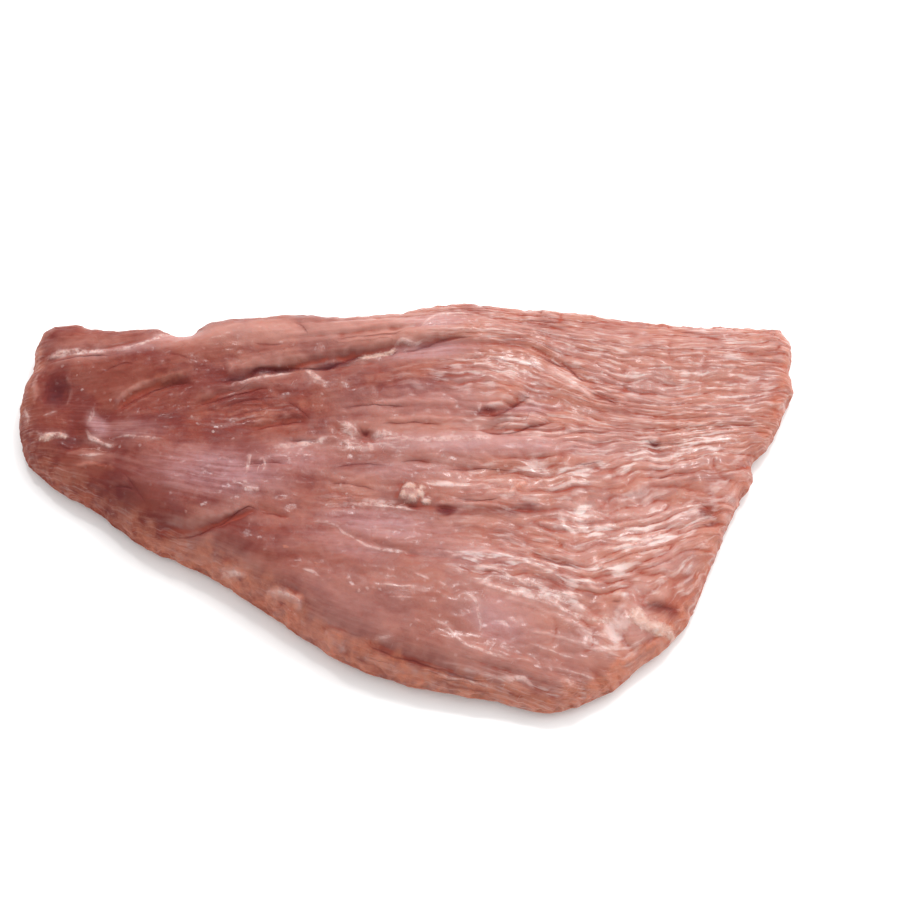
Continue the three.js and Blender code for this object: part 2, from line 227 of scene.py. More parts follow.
class SteakColours(bpy.types.PropertyGroup):
    """Colours of the meat and of what is on it."""

    # Deep and pale meat: the narrow end is partly darker meat and partly painted shade, as the light falls from the
    # upper right
    deep: colour_property("Deep meat", "Darker meat of the narrow end", from_screen(110, 49, 43))
    pale: colour_property("Pale meat", "Paler meat of the cut end", from_screen(169, 120, 110))
    warm: colour_property("Warm meat", "Orange-brown meat between the paler strands", from_screen(162, 100, 80))
    # Partly pale tissue on the strand crests and partly painted highlight
    crest_and_highlight: colour_property("Crest", "Whitish crests of the strands", from_screen(206, 184, 179))
    # Painted shade between the strands, in small hollows and in notches
    valley_shade: colour_property("Valley", "Between two strands", from_screen(145, 68, 54))
    rim: colour_property("Rim", "Orange-brown meat along the edge", from_screen(184, 114, 90))
    membrane: colour_property("Membrane", "Thin lavender skin", from_screen(168, 126, 128))
    stain: colour_property("Stain", "Purple stain", from_screen(66, 26, 36))
    # Painted shade: the colour that stands in for the shade deep in creases and pits
    hollow_shade: colour_property("Groove", "Wet meat deep in a crease", from_screen(92, 36, 40))
    # White membrane edges, and thin lines of painted highlight drawn with the same marks
    thread_and_highlight: colour_property("Thread", "White membrane edges", from_screen(204, 174, 168))
    fat: colour_property("Fat", "Cream-white fat", from_screen(196, 162, 149))


class StudioSettings(bpy.types.PropertyGroup):
    """Light of the studio."""

    key_power: bpy.props.FloatProperty(
        name="Key light", description="Power of the large soft light",
        default=4.7, min=0.0, unit="POWER")
    back_power: bpy.props.FloatProperty(
        name="Back light", description="Power of the soft light behind the steak",
        default=3.2, min=0.0, unit="POWER")
    glint_power: bpy.props.FloatProperty(
        name="Glint lights", description="Power of each of the two small lights that make the meat look wet",
        default=2.2, min=0.0, unit="POWER")
    sky: bpy.props.FloatProperty(
        name="Sky", description="Strength of the even white light from all round",
        default=0.95, min=0.0)
    floor: colour_property("Floor", "Colour of the floor", (0.93, 0.93, 0.93))


def ease(value, low, high):
    """0 below low, 1 above high, smooth between."""
    t = np.clip((value - low) / (high - low), 0.0, 1.0)
    return t * t * (3.0 - 2.0 * t)


def lerp(low, high, share):
    return low + (high - low) * share


def lattice_noise(x, y):
    """The solid's noise, so that the bundles of strands fall where the solid has them."""
    column, row = np.floor(x), np.floor(y)

    def at(i, j):
        wild = np.sin(i * 127.1 + j * 311.7) * 43758.5453
        return 2.0 * (wild - np.floor(wild)) - 1.0

    across, up = ease(x - column, 0, 1), ease(y - row, 0, 1)
    low = lerp(at(column, row), at(column + 1, row), across)
    high = lerp(at(column, row + 1), at(column + 1, row + 1), across)
    return lerp(low, high, up)


def ripple(x, y, seed, steep=0.0):
    """Gradient noise of about -1 to 1. steep near 1 turns its slopes to run across y."""
    column, row = np.floor(x).astype(np.int64), np.floor(y).astype(np.int64)
    east, north = x - column, y - row

    def corner(i, j):
        mixed = (column + i) * 374761393 + (row + j) * 668265263 + seed * 974634777
        mixed = ((mixed ^ (mixed >> 13)) & 0xFFFFFFFF) * 1274126177
        turn = ((mixed ^ (mixed >> 16)) & 0xFFFF) / 0x10000 * 2 * math.pi
        slope_x = np.cos(turn) * (1.0 - steep)
        slope_y = lerp(np.sin(turn), np.sign(np.sin(turn)), steep)
        return slope_x * (east - i) + slope_y * (north - j)

    across = east ** 3 * (east * (east * 6 - 15) + 10)
    up = north ** 3 * (north * (north * 6 - 15) + 10)
    low = lerp(corner(0, 0), corner(1, 0), across)
    high = lerp(corner(0, 1), corner(1, 1), across)
    return 1.5 * lerp(low, high, up)


def smooth_line(points, steps):
    """A smooth curve through the points in short steps: positions, share of length, length."""
    dots = [np.array(p, float) for p in points]
    dots = [2 * dots[0] - dots[1], *dots, 2 * dots[-1] - dots[-2]]
    path = []
    for a, b, c, d in zip(dots, dots[1:], dots[2:], dots[3:]):
        ab, bc, cd = (max(np.linalg.norm(q - p), 1e-4) ** 0.5 for p, q in ((a, b), (b, c), (c, d)))
        start = ((b - a) / ab - (c - a) / (ab + bc) + (c - b) / bc) * bc
        end = ((c - b) / bc - (d - b) / (bc + cd) + (d - c) / cd) * bc
        t = np.linspace(0, 1, steps, endpoint=False)[:, None]
        path.append(b + start * t + (3 * (c - b) - 2 * start - end) * t ** 2
                    + (2 * (b - c) + start + end) * t ** 3)
    path = np.vstack([*path, dots[-2]])
    length = np.concatenate([[0], np.cumsum(np.linalg.norm(np.diff(path, axis=0), axis=1))])
    return path, length / length[-1], length[-1]


class Edge:
    """One edge of the outline, with a little raggedness that fades out at its corners."""

    def __init__(self, points, seed, ragged):
        path, self.share, self.length = smooth_line(points, EDGE_STEPS)
        along = self.share * self.length
        aside = np.gradient(path, axis=0)[:, ::-1] * (1, -1)
        aside /= np.linalg.norm(aside, axis=1)[:, None]
        wander = sum(size * ripple(along / reach, along * 0 + 0.5, seed + 9 * k)
                     for k, (reach, size) in enumerate(((7.0, 1.0), (2.6, 0.6), (1.3, 0.35))))
        fade = ease(self.share, 0, 0.03) * ease(1 - self.share, 0, 0.03)
        self.path = path + aside * (ragged * wander * fade)[:, None]

    def at(self, share):
        return np.stack([np.interp(share, self.share, self.path[:, k]) for k in (0, 1)], -1)


def spread(count, length):
    """Mesh lines from 0 to 1: close together at both ends and even between, for each length."""
    bands = len(EDGE_ROWS) - 1
    near = np.array(EDGE_ROWS)[None, :] / length[:, None]
    rim = near[:, -1:]
    between = rim + (1 - 2 * rim) * np.linspace(0, 1, count - 2 * bands + 1)[None, :]
    return np.hstack([near[:, :-1], between, 1 - near[:, -2::-1]])


class Plan:
    """Plan position of every mesh point, in millimetres, by blending the four edges."""

    def __init__(self, ragged):
        self.front, self.cut, self.back, self.narrow = (
            Edge(points, seed, ragged)
            for seed, points in enumerate((FRONT_EDGE, CUT_EDGE, BACK_EDGE, NARROW_EDGE), 1))
        even_u = np.linspace(0, 1, COLUMNS + 1)
        even_v = np.linspace(0, 1, ROWS + 1)
        breadth = np.linalg.norm(self.back.at(even_u) - self.front.at(even_u), axis=1)
        reach = np.linalg.norm(self.cut.at(even_v) - self.narrow.at(even_v), axis=1)
        v = spread(ROWS, breadth)
        u = spread(COLUMNS, reach).T
        self.points = self.blend(u, v)

    def blend(self, u, v):
        u1, v1 = u[..., None], v[..., None]
        along = lerp(self.front.at(u), self.back.at(u), v1)
        across = lerp(self.narrow.at(v), self.cut.at(v), u1)
        a, b = self.front.at(np.array([0.0, 1.0]))
        d, c = self.back.at(np.array([0.0, 1.0]))
        corners = lerp(lerp(a, b, u1), lerp(d, c, u1), v1)
        return along + across - corners


OUTLINE = np.vstack([smooth_line(p, EDGE_STEPS)[0]
                     for p in (FRONT_EDGE, CUT_EDGE, BACK_EDGE, NARROW_EDGE)])
PLAN_LOW, PLAN_HIGH = OUTLINE.min(axis=0), OUTLINE.max(axis=0)
PLAN_SCALE = (CAD_HIGH - CAD_LOW)[:2] / (PLAN_HIGH - PLAN_LOW)


def to_frame(plan_xy):
    """Plan millimetres to the part's own millimetres."""
    return CAD_LOW[:2] + (plan_xy - PLAN_LOW) * PLAN_SCALE


def from_frame(part_xy):
    return PLAN_LOW + (part_xy - CAD_LOW[:2]) / PLAN_SCALE


def above_seam(x, y):
    """1 above the seam near the cut end, 0 below it."""
    nearest = np.full(x.shape, np.inf)
    side = np.ones(x.shape)
    for (ax, ay), (bx, by) in zip(SEAM, SEAM[1:]):
        length = math.hypot(bx - ax, by - ay)
        t = np.clip(((x - ax) * (bx - ax) + (y - ay) * (by - ay)) / length ** 2, 0, 1)
        distance = np.hypot(x - lerp(ax, bx, t), y - lerp(ay, by, t))
        closer = distance < nearest
        side = np.where(closer, np.sign((bx - ax) * (y - ay) - (by - ay) * (x - ax)), side)
        nearest = np.minimum(nearest, distance)
    return ease(side * nearest, -SEAM_BLEND, SEAM_BLEND)


class Grain:
    """How the strands run, and each place's distance along and across them."""

    STEP = 1.5
    LONGEST = 130
    MARGIN = 8.0

    def __init__(self):
        self.low = np.floor(PLAN_LOW - self.MARGIN)
        width, height = np.ceil(PLAN_HIGH + self.MARGIN - self.low).astype(int)
        x, y = np.meshgrid(self.low[0] + np.arange(width), self.low[1] + np.arange(height), indexing="ij")
        split = ease(x, SEAM_STARTS - 10, SEAM_STARTS + 6)
        above = above_seam(x, y)
        east, north = np.zeros(x.shape), np.zeros(x.shape)
        for samples, share in ((EVERYWHERE, 1.0), (ABOVE_SEAM, lerp(1, above, split)),
                               (BELOW_SEAM, lerp(1, 1 - above, split))):
            for sx, sy, degrees in samples:
                weight = share / ((x - sx) ** 2 + (y - sy) ** 2 + GRAIN_SOFTNESS) ** 1.5
                east += weight * math.cos(math.radians(degrees))
                north += weight * math.sin(math.radians(degrees))
        size = np.hypot(east, north)
        self.east, self.north = east / size, north / size

    def direction(self, x, y):
        i = np.clip(x - self.low[0], 0, self.east.shape[0] - 1.001)
        j = np.clip(y - self.low[1], 0, self.east.shape[1] - 1.001)
        column, row = i.astype(int), j.astype(int)
        a, b = i - column, j - row
        parts = [
            lerp(lerp(f[column, row], f[column + 1, row], a),
                 lerp(f[column, row + 1], f[column + 1, row + 1], a), b)
            for f in (self.east, self.north)]
        size = np.hypot(*parts)
        return parts[0] / size, parts[1] / size

    def place(self, x, y):
        """Follows the grain to GRAIN_LINE: how far that is, and where it arrives."""
        x, y = x.copy(), y.copy()
        heading = np.where(x > GRAIN_LINE, -1.0, 1.0)
        along = np.zeros(x.shape)
        for _ in range(self.LONGEST):
            east, north = self.direction(x, y)
            left = np.maximum((GRAIN_LINE - x) * heading, 0.0)
            stride = np.minimum(self.STEP, left / np.maximum(east, 0.2))
            x += heading * stride * east
            y += heading * stride * north
            along -= heading * stride
        return along, y


def along_arc(start, end, bow, x, y):
    """Signed distance from an arc, left of its direction, and how strongly it is there."""
    length = math.hypot(end[0] - start[0], end[1] - start[1])
    east, north = (end[0] - start[0]) / length, (end[1] - start[1]) / length
    t = ((x - start[0]) * east + (y - start[1]) * north) / length
    offset = (y - start[1]) * east - (x - start[0]) * north - 4 * bow * t * (1 - t)
    presence = ease(t, -0.05, 0.2) * ease(-t, -1.05, -0.8)
    return offset, presence


def broad_height(x, y):
    """Height of the top without creases or strands."""
    tip = NARROW_END_TAPER * (1 - ease(x, -100, -55))
    height = lerp(NARROW_END_THICKNESS, CUT_END_THICKNESS, ease(x, -60, 60)) - tip
    for start, end, bow, width, rise in SWELLS:
        offset, presence = along_arc(start, end, bow, x, y)
        height = height + rise * presence * np.exp(-(offset / width) ** 2)
    return height


def shoulder(distance, reach, squareness):
    """Share of the full rise reached at a distance in from the edge."""
    left = 1 - np.minimum(distance / reach, 1)
    return (1 - left ** squareness) ** (1 / squareness)


def under_pixel(px, py):
    """Place on the top, in plan millimetres, that the camera sees at a pixel of its picture."""
    focal = PICTURE * LENS / SENSOR
    right, up = (px - PICTURE / 2) / focal, (PICTURE / 2 - py) / focal
    sine, cosine = math.sin(CAMERA_ELEVATION), math.cos(CAMERA_ELEVATION)
    place = np.zeros(2)
    height = 11.0
    for _ in range(8):
        far = (CAMERA_DISTANCE * sine - height) / (sine - up * cosine)
        part = np.array([CAMERA_TARGET[0] + far * right,
                         CAMERA_TARGET[1] - CAMERA_DISTANCE * cosine + far * (cosine + up * sine)])
        place = from_frame(part)
        edge = np.hypot(*(OUTLINE - place).T).min()
        share = shoulder(edge, EDGE_ROUND, EDGE_SQUARENESS)
        found = lerp(RIM_HEIGHT, float(broad_height(place[0:1], place[1:2])[0]), share)
        height = lerp(height, found, 0.6)
    return place


def patches(table, x, y):
    """Sum of soft-edged patches: pixel, length and width in millimetres, degrees, strength."""
    total = np.zeros(x.shape)
    for pixel, length, width, degrees, strength in table:
        cx, cy = under_pixel(*pixel)
        turn = math.radians(degrees)
        along = (x - cx) * math.cos(turn) + (y - cy) * math.sin(turn)
        across = (y - cy) * math.cos(turn) - (x - cx) * math.sin(turn)
        far = (2 * along / length) ** 2 + (2 * across / width) ** 2
        total += strength * np.exp(-far ** 1.5)
    return total


# Patches as (pixel, length, width, degrees, strength)
SMOOTH_PATCHES = [
    ((200, 468), 34, 16, -4, 0.5), ((430, 350), 28, 6, 9, 0.7), ((480, 443), 60, 6, 0, 0.6),
    ((500, 620), 16, 12, -8, 0.5), ((300, 330), 60, 8, 4, 0.5), ((100, 337), 34, 6, 0, 0.5),
    ((330, 590), 40, 22, -22, 0.4), ((430, 320), 18, 6, 6, 0.4), ((300, 380), 22, 6, 5, 0.3),
    ((640, 335), 50, 5, -2, 0.3), ((560, 655), 34, 12, -14, 0.45), ((420, 620), 30, 14, -20, 0.3),
    ((530, 600), 30, 12, -14, 0.3), ((700, 360), 46, 14, 0, 0.3), ((470, 400), 30, 10, 4, 0.2),
]
ROUGH_PATCHES = [
    ((520, 575), 44, 9, -8, 0.4), ((560, 365), 30, 8, -20, 0.2), ((505, 478), 26, 5, 0, 0.2),
    ((640, 500), 50, 26, 10, 0.15), ((250, 412), 30, 9, 10, 0.4), ((600, 560), 30, 16, -10, 0.2),
    ((345, 500), 12, 10, 0, 0.4), ((560, 380), 24, 12, -30, 0.2), ((500, 380), 40, 12, 0, 0.3),
]
MEMBRANE_PATCHES = [
    ((215, 470), 34, 13, -4, 0.9), ((430, 350), 24, 4.5, 9, 1.0), ((440, 320), 16, 5, 8, 0.8),
    ((480, 443), 58, 6, 0, 0.7), ((98, 426), 4, 8, 35, 1.0), ((135, 428), 14, 6, -10, 0.4), ((180, 338), 14, 4, 4, 0.6), ((385, 525), 30, 8, -6, 0.8),
    ((500, 620), 15, 13, -8, 0.75), ((530, 409), 17, 3, 4, 0.7), ((345, 545), 20, 6, -16, 0.5),
    ((120, 350), 24, 4, 6, 0.4), ((300, 455), 20, 8, 0, 0.5), ((330, 600), 40, 18, -20, 0.1),
    ((420, 400), 34, 12, 6, 0.3), ((470, 555), 30, 8, -4, 0.35), ((400, 470), 26, 5, 0, 0.4),
]
# Purple stains: the meat's own colour, and painted shade under the lip of the main crease and in the recesses at the
# narrow end
STAIN_AND_SHADE_PATCHES = [
    ((56, 391), 5.5, 9, -10, 0.75), ((72, 440), 8, 4, 5, 0.65), ((495, 511), 22, 3.0, 2, 0.35),
    ((105, 415), 5, 4, 30, 0.3),
    ((235, 400), 14, 3, 12, 0.25), ((310, 440), 12, 2, 0, 0.4), ((334, 364), 11, 2.2, 10, 1.0),
    ((117, 503), 11, 9, -25, 0.35), ((150, 492), 24, 10, -20, 0.22), ((530, 505), 8, 2, 0, 0.25), ((446, 510), 4.5, 2.6, 0, 0.6),
    ((500, 420), 8, 3, 20, 0.6), ((420, 345), 20, 2, 10, 0.5), ((160, 420), 16, 6, 18, 0.35),
    ((660, 608), 8, 3, 0, 0.4), ((274, 369), 13, 2, 4, 1.0), ((236, 378), 9, 1.8, 14, 0.6), ((361, 357), 6, 1.6, 12, 0.8),
]
# Paler places: partly paler meat and partly painted light on lobes and rolls that face the light
PALE_AND_LIT_PATCHES = [
    ((240, 332), 50, 8, 4, 0.6), ((215, 552), 34, 8, -28, 0.4), ((212, 514), 16, 5, 22, 0.4), ((470, 438), 54, 4, 0, 0.15),
    ((93, 418), 5, 7, 60, 0.5), ((120, 425), 9, 5, 10, 0.35), ((85, 361), 18, 3, 6, 0.3),
    ((92, 460), 9, 3, 4, 0.45), ((75, 340), 24, 4, 2, 0.2), ((36, 388), 3, 8, 0, 0.25),
    ((145, 386), 22, 3, 22, 0.35), ((255, 363), 24, 3, 6, 0.35), ((230, 392), 20, 2.5, 14, 0.3),
    ((175, 338), 10, 4, 5, 0.3),
    ((400, 325), 56, 8, 6, 0.35), ((600, 512), 14, 4, 6, 0.5), ((640, 545), 24, 8, 10, 0.5),
    ((600, 530), 8, 3, 5, 0.4), ((602, 568), 8, 4, -10, 0.5), ((602, 620), 8, 4, -5, 0.3),
    ((650, 620), 16, 8, -25, 0.4), ((640, 575), 30, 10, -8, 0.3), ((640, 520), 40, 20, 4, 0.2), ((330, 630), 16, 6, -28, 0.3), ((560, 560), 40, 5, -8, 0.4), ((560, 378), 14, 5, -35, 0.3),
    ((480, 480), 30, 6, 0, 0.3), ((520, 610), 30, 12, -12, 0.2), ((640, 335), 60, 6, -2, 0.25),
    ((230, 325), 30, 6, 4, 0.3), ((350, 605), 32, 9, -25, 0.25), ((660, 430), 60, 24, 6, 0.1),
]
# Deeper places: partly darker meat and partly painted shade in recesses and pits
DEEP_AND_SHADED_PATCHES = [
    ((400, 385), 40, 14, 4, 0.2), ((60, 385), 16, 14, 0, 0.4), ((520, 580), 40, 12, -8, 0.15),
    ((707, 513), 6, 6, 0, 0.5), ((54, 388), 5, 10, -10, 0.6), ((74, 440), 8, 4, 5, 0.5),
    ((142, 490), 10, 12, -30, 0.3), ((665, 607), 10, 4, 0, 0.5), ((446, 509), 5, 3, 0, 0.7),
    ((487, 412), 8, 3, 10, 0.6), ((522, 410), 18, 4, 8, 0.35), ((300, 432), 14, 3, 4, 0.3), ((230, 408), 22, 4, 8, 0.3),
    ((80, 400), 26, 22, 10, 0.4), ((250, 410), 40, 12, 10, 0.35), ((150, 390), 40, 12, 10, 0.3),
    ((120, 505), 30, 14, -30, 0.4), ((240, 540), 30, 10, -25, 0.05), ((495, 511), 24, 3.4, 2, 0.45),
    ((680, 608), 12, 5, 0, 0.3), ((530, 556), 20, 3, -8, 0.2), ((410, 380), 30, 10, 5, 0.3),
    ((420, 620), 26, 14, -20, 0.05),
]
# Painted shade in pits, holes and slots
SHADE_PATCHES = [
    ((655, 443), 2.6, 1.8, -20, 0.7), ((487, 411), 5.5, 1.8, 20, 0.8), ((366, 431), 1.0, 1.4, 0, 1.0),
    ((446, 509), 3.6, 2.2, 0, 0.7), ((420, 506), 5, 1.0, 0, 0.6), ((302, 439), 8, 1.2, 0, 0.5),
    ((520, 502), 8, 1.4, 0, 0.4), ((665, 604), 8, 1.8, 0, 0.25),
]
# Wet places: more coat, a finer bump and the painted glint spots
WET_PATCHES = [
    ((225, 430), 9, 6, 0, 1.0), ((194, 420), 4, 3, 0, 1.0), ((352, 446), 7, 5, 0, 1.0),
    ((375, 399), 10, 4, 0, 0.9), ((515, 362), 24, 5, 0, 0.8), ((340, 500), 9, 9, 0, 0.8),
    ((390, 588), 18, 4, 0, 0.6), ((250, 488), 12, 4, 0, 0.7), ((600, 520), 30, 12, 6, 0.5),
    ((448, 320), 18, 5, 8, 0.6), ((640, 370), 34, 12, 0, 0.4), ((700, 450), 30, 14, 6, 0.5),
    ((75, 378), 8, 6, 0, 0.6), ((222, 455), 7, 5, 0, 0.5), ((80, 362), 16, 4, 6, 0.5), ((85, 385), 8, 7, 0, 0.5), ((120, 445), 20, 10, 0, 0.4), ((210, 500), 20, 8, 10, 0.4),
    ((60, 440), 12, 4, 10, 0.4), ((115, 400), 7, 4, 30, 0.4), ((272, 372), 12, 4, 5, 0.5),
    ((228, 340), 10, 5, 0, 0.4), ((196, 356), 8, 5, 0, 0.5), ((270, 335), 10, 5, 0, 0.4),
    ((330, 390), 10, 8, 0, 0.5), ((300, 410), 14, 5, 0, 0.4), ((290, 455), 12, 4, 0, 0.4), ((460, 470), 34, 6, 0, 0.5),
    ((540, 480), 24, 8, 0, 0.5), ((440, 630), 14, 10, -20, 0.5), ((97, 436), 5, 5, 0, 0.6),
]
# Painted sheen: whitish highlight where the wet strands catch the light
PAINTED_SHEEN_PATCHES = [
    ((585, 512), 14, 5, 4, 0.9), ((610, 530), 26, 5, 4, 0.8), ((640, 543), 22, 4, 8, 1.0),
    ((668, 510), 12, 4, 0, 0.8), ((690, 522), 10, 5, 20, 0.6), ((600, 470), 30, 8, 4, 0.35),
    ((640, 455), 26, 8, 4, 0.45), ((700, 440), 24, 8, 4, 0.6), ((720, 400), 22, 12, 0, 0.45),
    ((660, 375), 40, 8, -2, 0.35), ((610, 568), 10, 4, 0, 0.9), ((505, 560), 34, 3, -4, 0.8),
    ((530, 590), 36, 4, -14, 0.8), ((480, 556), 10, 3, 0, 0.9), ((560, 575), 20, 4, -12, 0.5),
    ((602, 618), 10, 4, -5, 0.45), ((352, 442), 10, 6, 0, 0.5), ((440, 320), 22, 6, 6, 0.6),
    ((500, 372), 20, 5, 0, 0.5), ((515, 362), 20, 4, 0, 0.6), ((555, 443), 30, 3, 4, 0.5),
    ((560, 470), 20, 5, 4, 0.35), ((520, 490), 14, 4, 0, 0.4), ((650, 590), 16, 6, 4, 0.5),
    ((690, 565), 8, 5, 20, 0.5), ((455, 485), 16, 2, 0, 0.9), ((405, 445), 20, 3, 0, 0.5),
    ((740, 350), 20, 10, 0, 0.3), ((600, 345), 30, 8, 0, 0.25), ((620, 640), 14, 8, -14, 0.5),
]
FAT_PATCHES = [
    ((42, 439), 5, 2.0, 14, 0.5), ((52, 436), 6, 1.8, 8, 0.55), ((62, 437), 5, 1.4, 14, 0.35),
    ((403, 494), 2.0, 2.4, 0, 0.8), ((409, 486), 2.6, 2.0, 10, 0.8), ((413, 498), 2.2, 2.0, -10, 0.9),
    ((420, 494), 2.2, 1.8, 0, 0.9), ((427, 501), 2.8, 1.6, 0, 0.9), ((423, 488), 2.0, 1.4, 0, 0.6),
    ((407, 503), 1.8, 1.2, 0, 0.5), ((415, 490), 7, 5, -10, 0.25), ((650, 625), 12, 4.5, -18, 0.5), ((668, 630), 6, 3.0, -10, 0.5),
    ((368, 356), 6, 2.2, 9, 0.9), ((383, 353), 6, 2.0, 12, 0.9), ((393, 349), 3, 1.6, 20, 0.7), ((638, 612), 4, 3.0, -40, 0.7),
    ((602, 620), 5, 2.4, 0, 0.5), ((602, 568), 5, 2.4, -10, 0.5), ((60, 354), 9, 1.6, 12, 0.5), ((660, 629), 7, 2.6, -10, 0.4),
]

TAN_PATCHES = [
    ((160, 548), 22, 4, -24, 0.5), ((284, 604), 14, 5, -30, 0.6), ((334, 643), 10, 4, -28, 0.6),
    ((34, 392), 3, 10, 0, 0.2), ((230, 580), 16, 4, -26, 0.4), ((405, 680), 26, 4, -14, 0.4),
    ((500, 388), 14, 3, 12, 0.3), ((265, 408), 26, 7, 6, 0.2), ((520, 488), 8, 4, 0, 0.5),
]

